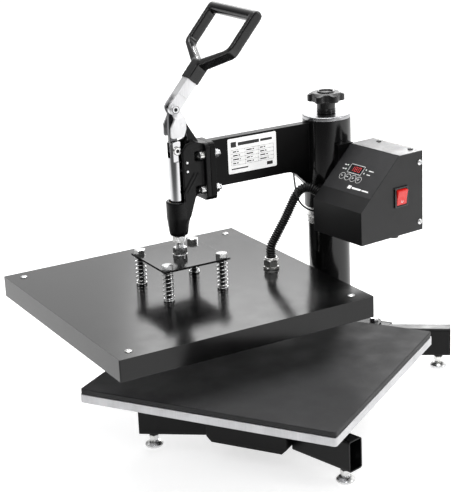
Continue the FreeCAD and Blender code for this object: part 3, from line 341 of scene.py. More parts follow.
def powder_coat(name, colour, roughness, peel=0.00004, peel_scale=700.0, specular=0.28):
    """Sprayed and baked coating: orange peel, uneven gloss, and edges lighter from rubbing and from a
    painted highlight.
    """
    surface = Surface(name, colour, roughness, specular=specular)
    lighter = tuple(min(1.0, c * 1.5 + 0.001) for c in colour)
    surface.vary_colour(surface.spread(surface.noise(9.0, 3.0), 0.0, 1.0), lighter)
    # edges painted lighter: partly wear, partly a painted highlight line
    surface.edge_wear_and_highlight((0.055, 0.055, 0.055 * 1.03))
    surface.vary_roughness(surface.noise(38.0, 4.0), roughness * 0.86, roughness * 1.16)
    surface.bump(surface.noise(peel_scale, 2.0), peel)
    surface.bump(surface.noise(60.0, 2.0), peel * 2.0, 0.5)
    return surface


def zinc_plate(name, colour, roughness):
    """Bright electroplate over steel, with faint blue and yellow staining."""
    surface = Surface(name, colour, roughness, metallic=1.0)
    surface.vary_colour(surface.spread(surface.noise(45.0, 3.0), 0.0, 0.6), (0.60, 0.62, 0.66))
    surface.vary_colour(surface.spread(surface.noise(90.0, 2.0), 0.0, 0.35), (0.74, 0.72, 0.62))
    surface.vary_roughness(surface.noise(300.0, 4.0), roughness * 0.7, roughness * 1.4)
    surface.bump(surface.noise(900.0, 3.0), 0.00003)


def brushed(name, colour, roughness, stretch, depth=0.00003):
    """Metal with fine parallel lines along the axis that stretch leaves short."""
    surface = Surface(name, colour, roughness, metallic=1.0)
    lines = surface.noise(500.0, 5.0, 0.7, stretch)
    surface.vary_colour(surface.spread(lines, 0.0, 0.5), tuple(c * 0.78 for c in colour))
    surface.vary_roughness(surface.noise(40.0, 3.0), roughness * 0.8, roughness * 1.25)
    surface.bump(lines, depth)


def make_materials():
    powder_coat("black_frame", (0.0016, 0.0016, 0.0018), 0.32, specular=0.18)
    powder_coat("black_arm", (0.0012, 0.0012, 0.0013), 0.32, specular=0.13)
    powder_coat("black_plate", (0.0015, 0.0015, 0.0016), 0.14, peel=0.00001, specular=0.22)
    powder_coat("black_cover", (0.0012, 0.0012, 0.0013), 0.17, peel=0.000012, peel_scale=500.0,
                specular=0.33)
    powder_coat("black_column", (0.0020, 0.0020, 0.0022), 0.13, peel=0.00001, specular=0.42)
    powder_coat("black_casting", (0.0016, 0.0016, 0.0018), 0.28, peel=0.00006, peel_scale=420.0,
                specular=0.20)
    box = powder_coat("box_paint", (0.0070, 0.0070, 0.0074), 0.36, peel=0.00005, peel_scale=1100.0,
                      specular=0.35)
    box.bump(box.noise(2200.0, 1.0), 0.00003)
    zinc_plate("zinc", (0.72, 0.72, 0.73), 0.27)
    zinc_plate("bolt_zinc", (0.80, 0.80, 0.81), 0.26)
    zinc_plate("spring_wire", (0.80, 0.80, 0.81), 0.20)
    zinc_plate("nickel_gland", (0.84, 0.83, 0.81), 0.34)
    zinc_plate("steel", (0.45, 0.45, 0.46), 0.35)
    # dark steel; also used as painted shade in the pins' sockets and grooves
    powder_coat("dark_steel_and_painted_shade", (0.006, 0.006, 0.0065), 0.45)
    brushed("lever_steel", (0.86, 0.86, 0.87), 0.42, (1.0, 1.0, 0.12))
    brushed("link_steel", (0.10, 0.10, 0.105), 0.18, (1.0, 1.0, 0.10))
    brushed("turned_cap", (0.40, 0.40, 0.41), 0.24, (0.2, 0.2, 2.0))
    brushed("bare_aluminium", (0.50, 0.50, 0.51), 0.42, (1.0, 1.0, 0.08), depth=0.00006)
    brushed("cast_aluminium", (0.50, 0.50, 0.51), 0.40, (1.0, 0.04, 1.0), depth=0.00005)
    brushed("bronze", (0.62, 0.40, 0.18), 0.35, (0.2, 0.2, 2.0))
    chrome = Surface("chrome", (0.55, 0.55, 0.56), 0.06, metallic=1.0)
    chrome.vary_roughness(chrome.noise(60.0, 4.0, stretch=(1.0, 1.0, 0.2)), 0.05, 0.10)
    chrome.bump(chrome.noise(30.0, 2.0), 0.00001)
    silicone()
    moulded("black_plastic", (0.0060, 0.0060, 0.0062), 0.26)
    moulded("handle_plastic", (0.0050, 0.0050, 0.0052), 0.20)
    moulded("conduit", (0.0045, 0.0045, 0.0047), 0.32)
    moulded("lead_sheath", (0.004, 0.004, 0.004), 0.40)
    moulded("button_plastic", (0.012, 0.012, 0.013), 0.40)
    moulded("overlay_black", (0.016, 0.016, 0.017), 0.38)
    moulded("circuit_board", (0.01, 0.09, 0.03), 0.40)
    moulded("insulation", (0.62, 0.58, 0.48), 0.95)
    foil = moulded("label_white", (0.80, 0.80, 0.79), 0.35)
    # the foil glows a little: painted light that makes the label look brightly lit
    foil.shader.inputs["Emission Color"].default_value = (1.0, 1.0, 1.0, 1.0)
    foil.shader.inputs["Emission Strength"].default_value = 0.30
    moulded("print_white", (0.80, 0.80, 0.80), 0.50)
    moulded("print_black", (0.02, 0.02, 0.02), 0.50)
    moulded("display", (0.003, 0.002, 0.002), 0.12)
    red = Surface("red_plastic", (0.62, 0.010, 0.008), 0.20, coat=0.3)
    red.vary_colour(red.spread(red.noise(80.0, 3.0), 0.0, 0.5), (0.50, 0.006, 0.005))
    red.vary_roughness(red.noise(300.0, 3.0), 0.16, 0.26)
    red.bump(red.noise(900.0, 2.0), 0.00001)
    # the rocker glows a little: painted light that makes it look brighter than its lighting does
    red.shader.inputs["Emission Color"].default_value = (1.0, 0.03, 0.02, 1.0)
    red.shader.inputs["Emission Strength"].default_value = 0.16
    lamp = Surface("red_light", (0.5, 0.02, 0.02), 0.3)
    lamp.vary_roughness(lamp.noise(500.0, 2.0), 0.25, 0.4)
    lamp.shader.inputs["Emission Color"].default_value = (1.0, 0.03, 0.05, 1.0)
    lamp.shader.inputs["Emission Strength"].default_value = 0.30


def silicone():
    """Matt sponge rubber: fine grain, faint mottling and pressed-in dust."""
    surface = Surface("silicone", (0.016, 0.016, 0.0165), 0.60, specular=0.28)
    surface.vary_colour(surface.spread(surface.noise(14.0, 5.0), 0.0, 1.0), (0.020, 0.020, 0.021))
    surface.flecks(900.0, (0.07, 0.07, 0.07), 0.72, 0.75)
    surface.vary_roughness(surface.noise(25.0, 4.0), 0.56, 0.70)
    surface.bump(surface.noise(1500.0, 3.0), 0.00008)
    surface.bump(surface.noise(260.0, 2.0), 0.00006, 0.6)
    surface.shader.inputs["Sheen Weight"].default_value = 0.04
    surface.shader.inputs["Sheen Roughness"].default_value = 0.4


def moulded(name, colour, roughness):
    """Moulded plastic, rubber or print: fine erosion texture and uneven gloss."""
    surface = Surface(name, colour, roughness)
    other = tuple(min(1.0, c * 1.25 + 0.002) for c in colour)
    surface.vary_colour(surface.spread(surface.noise(60.0, 3.0), 0.0, 1.0), other)
    surface.vary_roughness(surface.noise(220.0, 3.0), roughness * 0.85, min(1.0, roughness * 1.15))
    surface.bump(surface.noise(1600.0, 2.0), 0.00003)
    return surface


# ---------------------------------------------------------------------------------------------
# mesh helpers

SEAM_GAP = 1e-7
BORE_CHAMFER_DEEP = 0.0003
BORE_CHAMFER_WIDE = 0.0004
NUT_FACE_SHARE = 0.97
CORNER_CONE = 30
THREAD_DEPTH_SHARE = 0.55
THREAD_END_CHAMFER = 0.0008
THREAD_SIDES = 40
THREAD_RINGS_A_TURN = 8
CORNER_STEPS = 6
EDGE_STEPS = 3

def add_piece(name, mesh, material, body, smooth=35.0):
    """Put a finished mesh on a body with its material."""
    mesh.materials.clear()
    mesh.materials.append(MATERIALS[material])
    piece = bpy.data.objects.new(name, mesh)
    bpy.context.scene.collection.objects.link(piece)
    if smooth:
        mesh.shade_smooth()
        mesh.set_sharp_from_angle(angle=math.radians(smooth))
    if body is not None:
        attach(piece, body)
    return piece


def mesh_from(name, points, faces, place=WORLD):
    mesh = bpy.data.meshes.new(name)
    mesh.from_pydata([place @ Vector(p) for p in points], [], faces)
    mesh.validate()
    return turn_outward(mesh)


def turn_outward(mesh, weld=False, drop_slivers=False):
    """Turn a mesh's faces outward, once it is welded where its rings meet."""
    shape = bmesh.new()
    shape.from_mesh(mesh)
    if weld:
        bmesh.ops.remove_doubles(shape, verts=shape.verts, dist=SEAM_GAP)
    if drop_slivers:
        bmesh.ops.dissolve_degenerate(shape, edges=shape.edges, dist=SEAM_GAP)
    bmesh.ops.recalc_face_normals(shape, faces=shape.faces)
    shape.to_mesh(mesh)
    shape.free()
    return mesh


def join(name, meshes):
    """One mesh made of several."""
    shape = bmesh.new()
    for mesh in meshes:
        shape.from_mesh(mesh)
    joined = bpy.data.meshes.new(name)
    shape.to_mesh(joined)
    shape.free()
    return joined


def ring_mesh(name, rings, place=WORLD, close_ends=True):
    """A mesh skinned over rings of equally many points; with close_ends its first and last are filled."""
    count = len(rings[0])
    points = [p for ring in rings for p in ring]
    faces = []
    for i in range(len(rings) - 1):
        for j in range(count):
            k = (j + 1) % count
            faces.append((i * count + j, i * count + k, (i + 1) * count + k, (i + 1) * count + j))
    if close_ends:
        faces.append(tuple(range(count))[::-1])
        faces.append(tuple(range((len(rings) - 1) * count, len(rings) * count)))
    return mesh_from(name, points, faces, place)


def lathe(name, profile, place=WORLD, sides=48):
    """Turn (radius, height) points about Z; the profile is closed on itself."""
    rings = []
    turns = [2 * math.pi * i / sides for i in range(sides)]
    for radius, height in profile:
        rings.append([(radius * math.cos(a), radius * math.sin(a), height) for a in turns])
    rings.append(rings[0])
    return turn_outward(ring_mesh(name, rings, place, close_ends=False), weld=True)


def arc_points(centre, radius, start, stop, count):
    """Points on an arc in (radius, height), for a lathe profile; angles in degrees."""
    angles = [math.radians(start + (stop - start) * i / (count - 1)) for i in range(count)]
    return [(centre[0] + radius * math.cos(a), centre[1] + radius * math.sin(a)) for a in angles]


def hex_mesh(name, flats, low, high, bore, place=WORLD, chamfer_low=True, chamfer_high=True, sides=96):
    """A nut or bolt head: a hexagon whose corners a 30 degree cone cuts back, with a bore."""
    half = flats / 2
    cone = math.tan(math.radians(CORNER_CONE))
    turns = [2 * math.pi * i / sides for i in range(sides)]
    radii = [half / math.cos((a % (math.pi / 3)) - math.pi / 6) for a in turns]
    drops = [max(0.0, (r - half * NUT_FACE_SHARE) * cone) for r in radii]

    def ring(values, heights):
        return [(r * math.cos(a), r * math.sin(a), z) for r, a, z in zip(values, turns, heights)]

    flat_ring = [half * NUT_FACE_SHARE] * sides
    bore_ring = [bore] * sides
    mouth_ring = [bore + BORE_CHAMFER_WIDE] * sides
    tops = [high - (drop if chamfer_high else 0.0) for drop in drops]
    bottoms = [low + (drop if chamfer_low else 0.0) for drop in drops]
    rings = [
        ring(bore_ring, [low + BORE_CHAMFER_DEEP] * sides),
        ring(mouth_ring, [low] * sides),
        ring(flat_ring, [low] * sides),
        ring(radii, bottoms),
        ring(radii, tops),
        ring(flat_ring, [high] * sides),
        ring(mouth_ring, [high] * sides),
        ring(bore_ring, [high - BORE_CHAMFER_DEEP] * sides),
    ]
    if bore > 0.0:
        rings.append(rings[0])
        mesh = ring_mesh(name, rings, place, close_ends=False)
    else:
        mesh = ring_mesh(name, rings[1:-1], place)
    return turn_outward(mesh, weld=True, drop_slivers=True)


def thread_mesh(name, radius, low, high, pitch, place):
    """A threaded rod: one helical groove cut round a shaft, with chamfered ends."""
    rings = []
    steps = max(THREAD_RINGS_A_TURN, int((high - low) / pitch * THREAD_RINGS_A_TURN))
    for i in range(steps + 1):
        height = low + (high - low) * i / steps
        from_end = min(height - low, high - height)
        ring = []
        for j in range(THREAD_SIDES):
            turn = j / THREAD_SIDES
            phase = ((height - low) / pitch - turn) % 1.0
            cut = THREAD_DEPTH_SHARE * pitch * (1 - abs(2 * phase - 1))
            cut = max(cut, max(0.0, THREAD_END_CHAMFER - from_end))
            r = radius - cut
            ring.append((r * math.cos(2 * math.pi * turn), r * math.sin(2 * math.pi * turn), height))
        rings.append(ring)
    return ring_mesh(name, rings, place)


def frames_along(points):
    """(point, side, up) at each point, carried along without twisting."""
    tangents = []
    for i in range(len(points)):
        before = points[max(0, i - 1)]
        after = points[min(len(points) - 1, i + 1)]
        tangents.append((after - before).normalized())
    side = tangents[0].orthogonal().normalized()
    frames = []
    for i, (point, tangent) in enumerate(zip(points, tangents)):
        if i:
            turn = tangents[i - 1].rotation_difference(tangent)
            side = turn @ side
        side = (side - tangent * side.dot(tangent)).normalized()
        frames.append((point, side, tangent.cross(side)))
    return frames


def tube(name, points, radius, sides, place=WORLD):
    """A tube along points; radius is a number or a function of the distance along it."""
    rings = []
    turns = [2 * math.pi * j / sides for j in range(sides)]
    travelled = 0.0
    for i, (point, side, up) in enumerate(frames_along(points)):
        if i:
            travelled += (points[i] - points[i - 1]).length
        r = radius(travelled) if callable(radius) else radius
        rings.append([point + side * (r * math.cos(a)) + up * (r * math.sin(a)) for a in turns])
    return ring_mesh(name, rings, place)


def resample(points, step):
    """Points at equal steps along a line of points."""
    lengths = [0.0]
    for a, b in zip(points, points[1:]):
        lengths.append(lengths[-1] + (b - a).length)
    count = max(2, int(lengths[-1] / step))
    result = []
    k = 0
    for i in range(count + 1):
        want = lengths[-1] * i / count
        while k < len(lengths) - 2 and lengths[k + 1] < want:
            k += 1
        span = lengths[k + 1] - lengths[k]
        share = (want - lengths[k]) / span if span > 0 else 0.0
        result.append(points[k].lerp(points[k + 1], share))
    return result


def spline_points(name, route, place):
    """The points of a smooth NURBS line with the route as its control points."""
    data = bpy.data.curves.new(name, "CURVE")
    data.dimensions = "3D"
    data.resolution_u = 24
    spline = data.splines.new("NURBS")
    spline.points.add(len(route) - 1)
    for point, where in zip(spline.points, route):
        point.co = (*(place @ (Vector(where) * MM)), 1.0)
    spline.order_u = 3
    spline.use_endpoint_u = True
    curve = bpy.data.objects.new(name, data)
    bpy.context.scene.collection.objects.link(curve)
    line = bpy.data.meshes.new_from_object(curve.evaluated_get(bpy.context.evaluated_depsgraph_get()))
    points = [v.co.copy() for v in line.vertices]
    bpy.data.meshes.remove(line)
    bpy.data.objects.remove(curve)
    bpy.data.curves.remove(data)
    return points


def slab(low, high, place):
    """A box between two corners."""
    points = [(x, y, z) for z in (low[2], high[2]) for y in (low[1], high[1]) for x in (low[0], high[0])]
    faces = [(0, 2, 3, 1), (4, 5, 7, 6), (0, 1, 5, 4), (2, 6, 7, 3), (0, 4, 6, 2), (1, 3, 7, 5)]
    return mesh_from("slab", points, faces, place)


def rounded_slab(width, depth, low, high, corner, edge, place):
    """A plate with round corners in plan and softened top and bottom edges."""
    def outline(inset):
        points = []
        radius = max(corner - inset, 1e-5)
        for cx, cy, start in ((1, 1, 0), (-1, 1, 90), (-1, -1, 180), (1, -1, 270)):
            x = cx * (width / 2 - corner)
            y = cy * (depth / 2 - corner)
            for i in range(CORNER_STEPS + 1):
                a = math.radians(start + 90 * i / CORNER_STEPS)
                points.append((x + radius * math.cos(a), y + radius * math.sin(a)))
        return points

    bends = [math.radians(90 * i / EDGE_STEPS) for i in range(EDGE_STEPS + 1)]
    levels = [(edge * (1 - math.sin(a)), low + edge * (1 - math.cos(a))) for a in bends]
    levels += [(edge * (1 - math.cos(a)), high - edge * (1 - math.sin(a))) for a in bends]
    rings = [[(x, y, height) for x, y in outline(inset)] for inset, height in levels]
    return ring_mesh("slab", rings, place)


# ---------------------------------------------------------------------------------------------
# CAD nodes that keep their shape

WELD_GAP = 0.00001
FLAT_WITHIN = 0.5
SHARP_FROM = 30.0


def soften(node, material, width):
    """Give a CAD node its material, and round its edges as a real part's are."""
    piece = frame["nodes"][node]
    piece.data.materials.clear()
    piece.data.materials.append(MATERIALS[material])
    weld = piece.modifiers.new("weld", "WELD")
    weld.merge_threshold = WELD_GAP
    flat = piece.modifiers.new("flat", "DECIMATE")
    flat.decimate_type = "DISSOLVE"
    flat.angle_limit = math.radians(FLAT_WITHIN)
    if width > 0:
        bevel = piece.modifiers.new("edges", "BEVEL")
        bevel.width = width
        bevel.segments = 2
        bevel.limit_method = "ANGLE"
        bevel.angle_limit = math.radians(SHARP_FROM)
        bevel.miter_outer = "MITER_ARC"
        bevel.use_clamp_overlap = True
    smooth = piece.modifiers.new("smooth", "WEIGHTED_NORMAL")
    smooth.keep_sharp = False
    for polygon in piece.data.polygons:
        polygon.use_smooth = True


def round_off(node, material, grain, passes):
    """Give a moulded or cast CAD node flowing edges: an even fine skin, then smoothed."""
    piece = frame["nodes"][node]
    piece.data.materials.clear()
    piece.data.materials.append(MATERIALS[material])
    skin = piece.modifiers.new("skin", "REMESH")
    skin.mode = "VOXEL"
    skin.voxel_size = grain
    skin.use_smooth_shade = True
    relax = piece.modifiers.new("relax", "SMOOTH")
    relax.factor = 0.5
    relax.iterations = passes


def dress_cad_nodes():
    soft = {
        "base_beam": ("black_frame", 0.0012), "beam_end_plates": ("black_frame", 0.0006),
        "front_legs": ("black_frame", 0.0005), "rear_legs": ("black_frame", 0.0005),
        "levelling_feet": ("zinc", 0.0004), "column_flange": ("black_frame", 0.0012),
        "column": ("black_column", 0.0006), "column_nut": ("steel", 0.0), "column_collar": ("zinc", 0.0003),
        "thrust_washer": ("zinc", 0.0004), "platen_rails": ("black_frame", 0.0008),
        "lower_platen_plate": ("bare_aluminium", 0.0006), "silicone_pad": ("silicone", 0.0012),
        "base_bolts": ("zinc", 0.0004), "thrust_bearing": ("steel", 0.0), "height_screw": ("steel", 0.0),
        "sleeve": ("black_column", 0.0005),
        "sleeve_bushes": ("bronze", 0.0), "sleeve_cap": ("turned_cap", 0.0006),
        "arm_bar": ("black_arm", 0.0010), "toggle_fasteners": ("zinc", 0.0005),
        "barrel_bush": ("bronze", 0.0),
        "control_box_shell": ("box_paint", 0.0009), "control_box_back": ("box_paint", 0.0),
        "box_screws": ("zinc", 0.0002), "display_window": ("display", 0.0002),
        "display_board": ("circuit_board", 0.0), "rocker_bezel": ("black_plastic", 0.0006),
        "power_board": ("circuit_board", 0.0), "cord_gland": ("black_plastic", 0.0008),
        "box_bracket": ("black_arm", 0.0010), "lever_plates": ("lever_steel", 0.0004),
        "lever_bar": ("lever_steel", 0.0005),
        "lever_pins": ("lever_steel", 0.0004), "toggle_link": ("link_steel", 0.0008),
        "plunger": ("chrome", 0.0004),
        "plunger_pin": ("zinc", 0.0005), "spring_plate": ("black_plate", 0.0004),
        "platen_cover": ("black_cover", 0.0012), "heating_block": ("cast_aluminium", 0.0006),
        "heating_element": ("steel", 0.0), "insulation_board": ("insulation", 0.0),
        "temperature_sensors": ("steel", 0.0), "cover_screws": ("zinc", 0.0002),
        "rocker": ("red_plastic", 0.0006),
    }
    for node, (material, width) in soft.items():
        soften(node, material, width)
    for name in ("button_set", "button_down", "button_up", "button_timer"):
        soften(name, "button_plastic", 0.0003)
    round_off("handle", "handle_plastic", 0.0012, 20)
    round_off("toggle_body", "black_casting", 0.0010, 5)
    round_off("star_knob", "black_plastic", 0.0006, 3)


# ---------------------------------------------------------------------------------------------
# leads

# control points in millimetres, in the arm's frame; the lead's last one is in the box's frame
CONDUIT_ROUTE = [(11.5, -112.5, 221), (11.5, -112.5, 238), (11.5, -112.5, 250), (13.2, -103.7, 264.5),
                 (14.3, -94.7, 278.5), (15.2, -86.3, 292), (16.1, -78.5, 306), (17.6, -71.3, 320.5),
                 (20.5, -64.5, 331), (26.5, -57, 336), (34, -50, 334.5), (42, -44, 328.5), (52, -39.2, 323)]
LEAD_ROUTE = [(4, -63.5, 352.3), (13, -68, 346), (25, -74, 337), (31, -75.5, 324), (34.5, -69, 311),
              (35.5, -56, 301.5), (33, -44, 297), (33.5, -33, 294.5), (38.5, -26.8, 293.2)]
LEAD_END = (44.2, -30, 293)
CONDUIT_RADIUS = 7.4 * MM
CONDUIT_RIB = 3.5 * MM
CONDUIT_STEP = 0.0003
VALLEY_SHARE = 0.74
LEAD_RADIUS = 1.3 * MM
LEAD_STEP = 0.002


def make_conduit():
    """Corrugated conduit from the platen's gland up to the control box."""
    points = resample(spline_points("conduit_line", CONDUIT_ROUTE, ARM), CONDUIT_STEP)

    def radius(travelled):
        phase = (travelled / CONDUIT_RIB) % 1.0
        crest = 0.5 + 0.5 * math.cos(2 * math.pi * phase)
        return CONDUIT_RADIUS * (VALLEY_SHARE + (1 - VALLEY_SHARE) * crest ** 0.6)

    mesh = tube("conduit", points, radius, 28)
    piece = add_piece("conduit_hose", mesh, "conduit", None, smooth=80.0)
    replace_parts(piece, "conduit")
    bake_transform(piece)


def make_lead():
    """The thin sensor lead from under the arm bar to the control box."""
    end = (ARM.inverted() @ BOX @ (Vector(LEAD_END) * MM)) / MM
    route = LEAD_ROUTE + [tuple(end)]
    points = resample(spline_points("lead_line", route, ARM), LEAD_STEP)
    piece = add_piece("sensor_wire", tube("sensor_wire", points, LEAD_RADIUS, 14), "lead_sheath", "arm")
    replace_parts(piece, "sensor_lead")


# ---------------------------------------------------------------------------------------------
# fasteners and springs

SPINDLE_PITCH = 1.75 * MM
WASHER_UNDER = 4 * MM
SPRING_WIRE = 0.95 * MM
SPRING_RADIUS = 7.3 * MM
OPEN_COILS = 6.5
DEAD_COILS = 1.0
POINTS_A_COIL = 40
SEAT_GAP = 0.05 * MM
BOLT_FLATS = 15 * MM
BOLT_PITCH = 1.25 * MM
BOLT_RADIUS = 4 * MM
LOCK_NUT_FLATS = 13 * MM
LOCK_NUT_BORE = 4 * MM


def make_spindle():
    """Hexagon nuts, washer and the threaded stud between the plunger and the spring plate."""
    stud_low, stud_high = box_in("spindle_stud", ARM)
    centre = (stud_low + stud_high) / 2
    place = ARM @ Matrix.Translation((centre.x, centre.y, 0.0))
    radius = (stud_high.x - stud_low.x) / 2
    stud = thread_mesh("spindle_thread", radius, stud_low.z, stud_high.z, SPINDLE_PITCH, place)
    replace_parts(add_piece("spindle_thread", stud, "zinc", "plunger"), "spindle_stud")
    for i, (low, high) in enumerate(sorted(solids_in("spindle_nuts", ARM), key=lambda s: s[0].z)):
        turn = place @ Matrix.Rotation(math.radians(11 + 23 * i), 4, "Z")
        if high.z - low.z < WASHER_UNDER:
            outer = (high.x - low.x) / 2
            chamfer = 0.4 * MM
            profile = [(radius, low.z), (outer, low.z), (outer, high.z - chamfer),
                       (outer - chamfer, high.z), (radius, high.z)]
            piece = add_piece("spindle_washer", lathe("washer", profile, place), "zinc", "plunger")
        else:
            flats = min(high.x - low.x, high.y - low.y)
            mesh = hex_mesh("nut", flats, low.z, high.z, radius, turn)
            piece = add_piece("spindle_nut_%d" % i, mesh, "zinc", "plunger")
        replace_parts(piece, "spindle_nuts")


def spring_points(low, high):
    """The wire's line round Z: a closed dead coil at each end and open coils between them."""
    points = []
    total = OPEN_COILS + 2 * DEAD_COILS
    steps = int(total * POINTS_A_COIL)
    rise_low = low + SPRING_WIRE
    rise_high = high - SPRING_WIRE
    closed = 2 * SPRING_WIRE * DEAD_COILS
    for i in range(steps + 1):
        turn = total * i / steps
        if turn < DEAD_COILS:
            height = rise_low + closed * turn / DEAD_COILS
        elif turn > total - DEAD_COILS:
            height = rise_high - closed * (total - turn) / DEAD_COILS
        else:
            share = (turn - DEAD_COILS) / OPEN_COILS
            height = rise_low + closed + (rise_high - rise_low - 2 * closed) * share
        angle = 2 * math.pi * turn
        points.append(Vector((SPRING_RADIUS * math.cos(angle), SPRING_RADIUS * math.sin(angle), height)))
    return points


def make_springs():
    """Four coil springs, each round a hexagon bolt that rides on the heating block."""
    cover_top = box_in("platen_cover", ARM)[1].z
    plate_low, plate_high = box_in("spring_plate", ARM)
    for i, (low, high) in enumerate(sorted(solids_in("spring_bolts", ARM), key=lambda s: (s[0].x, s[0].y))):
        centre = (low + high) / 2
        place = ARM @ Matrix.Translation((centre.x, centre.y, 0.0))
        name = "pressure_spring_%d" % (i + 1)
        line = spring_points(cover_top + SEAT_GAP, plate_low.z - SEAT_GAP)
        mesh = tube(name, line, SPRING_WIRE, 12, place @ Matrix.Rotation(1.3 * i, 4, "Z"))
        spring = add_piece(name, mesh, "spring_wire", "platen", smooth=60.0)
        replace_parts(spring, "pressure_springs")
        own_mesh(spring)
        turned = place @ Matrix.Rotation(0.4 + i, 4, "Z")
        head = hex_mesh("head", BOLT_FLATS, plate_high.z, high.z, 0.0, turned, chamfer_low=False)
        piece = add_piece("spring_bolt_head_%d" % (i + 1), head, "bolt_zinc", "platen")
        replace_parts(piece, "spring_bolts")
        shank = thread_mesh("shank", BOLT_RADIUS, low.z, plate_high.z + 0.2 * MM, BOLT_PITCH, place)
        piece = add_piece("spring_bolt_shank_%d" % (i + 1), shank, "dark_steel_and_painted_shade", "platen")
        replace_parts(piece, "spring_bolts")


def make_pin_socket_shades():
    """Dark flat patches on the near end of the pins at the link's two ends: painted shade standing in for a
    hexagon-key socket and a turned groove.
    """
    for node, body in (("lever_pins", "lever"), ("plunger_pin", "plunger")):
        low, high = sorted(solids_in(node, ARM), key=lambda s: s[0].z + s[1].z)[-1]
        radius = min(high.y - low.y, high.z - low.z) / 2
        place = ARM @ Matrix.Translation((high.x, (low.y + high.y) / 2, (low.z + high.z) / 2))
        place = place @ Matrix.Rotation(math.radians(90), 4, "Y")
        # a dark hexagon just proud of the pin's face: painted shade, with no real recess cut
        hex_shade = hex_mesh("hex_shade", 5 * MM, -0.4 * MM, 0.06 * MM, 0.0, place, False, False, sides=48)
        name = node + "_socket_shade_1"
        add_piece(name, hex_shade, "dark_steel_and_painted_shade", body)
        # a dark flat ring on the pin: painted shade where a groove would be
        groove = ring_bars(0.0, 0.0, radius * 0.94, 0.6 * MM, place, (-0.3 * MM, 0.05 * MM))
        add_piece(name + "_groove", groove, "dark_steel_and_painted_shade", body, smooth=0)


def make_top_screw_heads():
    """Blackened heads on the two screws in the control box's top."""
    top = box_in("control_box_shell", BOX)[1].z
    heads = []
    for low, high in solids_in("box_screws", BOX):
        if high.z < top:
            continue
        radius = (high.x - low.x) / 2 + 0.1 * MM
        place = BOX @ Matrix.Translation(((low.x + high.x) / 2, (low.y + high.y) / 2, top))
        rise = high.z - top + 0.15 * MM
        profile = [(0.0, 0.02 * MM), (radius, 0.02 * MM), (radius, rise * 0.5), (radius * 0.7, rise * 0.9),
                   (0.0, rise)]
        heads.append(lathe("head", profile, place, 24))
    add_piece("box_top_screw_heads", join("heads", heads), "black_plastic", "arm")


def make_knob_crown():
    """The raised rim and dished middle on top of the star knob."""
    low, high = box_in("star_knob", WORLD)
    place = Matrix.Translation(((low.x + high.x) / 2, (low.y + high.y) / 2, high.z))
    rim = [(9.5 * MM, -1.0 * MM), *arc_points((11.5 * MM, 0.4 * MM), 1.6 * MM, 180, 0, 12),
           (13.5 * MM, -1.0 * MM)]
    add_piece("knob_crown", lathe("knob_crown", rim, place), "black_plastic", "knob", smooth=50.0)


def make_lock_nuts():
    meshes = []
    for i, (low, high) in enumerate(solids_in("foot_lock_nuts", WORLD)):
        centre = (low + high) / 2
        place = Matrix.Translation((centre.x, centre.y, 0.0)) @ Matrix.Rotation(0.5 * i, 4, "Z")
        meshes.append(hex_mesh("nut", LOCK_NUT_FLATS, low.z, high.z, LOCK_NUT_BORE, place))
    piece = add_piece("foot_nuts", join("foot_nuts", meshes), "zinc", "base")
    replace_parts(piece, "foot_lock_nuts")


def make_gland():
    """Hexagon base and ribbed dome nut that grip the conduit."""
    low, high = box_in("conduit_gland", ARM)
    cover_top = box_in("platen_cover", ARM)[1].z
    centre = (low + high) / 2
    place = ARM @ Matrix.Translation((centre.x, centre.y, 0.0))
    bore = CONDUIT_RADIUS + 0.35 * MM
    flats = min(high.x - low.x, high.y - low.y)
    base = hex_mesh("base", flats, cover_top, cover_top + 4.2 * MM, bore, place)
    spigot = [(bore, low.z), (8.5 * MM, low.z), (8.5 * MM, cover_top), (bore, cover_top)]
    thread = lathe("spigot", spigot, place)
    upper = hex_mesh("upper", flats * 0.97, cover_top + 5.2 * MM, high.z - 2.6 * MM, bore,
                     place @ Matrix.Rotation(0.35, 4, "Z"))
    crown = arc_points((8.6 * MM, high.z - 1.4 * MM), 1.4 * MM, 0, 90, 6)
    neck = 9.2 * MM
    neck_low = cover_top + 4.0 * MM
    neck_high = high.z - 2.7 * MM
    profile = [(bore, neck_low), (neck, neck_low), (neck, neck_high), (10.0 * MM, neck_high), *crown,
               (bore, high.z)]
    dome = lathe("dome", profile, place)
    piece = add_piece("gland", join("gland", [base, thread, upper, dome]), "nickel_gland", "platen")
    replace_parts(piece, "conduit_gland")


# ---------------------------------------------------------------------------------------------
# label and panel print

# the label's corners on the arm bar's near face, in the arm's frame, in metres
LABEL_FACE = 7 * MM + 0.02 * MM
LABEL_LEFT = -176 * MM
LABEL_RIGHT = -94 * MM
LABEL_BOTTOM = 371.5 * MM
LABEL_TOP = 424 * MM
LABEL_PRINT = (0.2 * MM, 0.29 * MM)
# the printed table and bars, in millimetres from the label's middle
TABLE_COLUMNS = (-36, -12.5, 10, 36)
TABLE_ROWS = (-14, -8.3, -2.5, 3.2, 9)
LINE_HALF = 0.2
CELL_MIDDLES = (-11.2, -5.4, 0.3, 6.1)
CELL_SPANS = ((-33, -20), (-10, 3), (13, 27))
WORD_HALF = 0.9
LABEL_BARS = ((-36, -27, 13, 21), (-24, 12, 14.5, 19.5), (14, 34, 15.2, 18.8), (-36, -8, -20.5, -18.5),
              (24, 34, -22, -17))


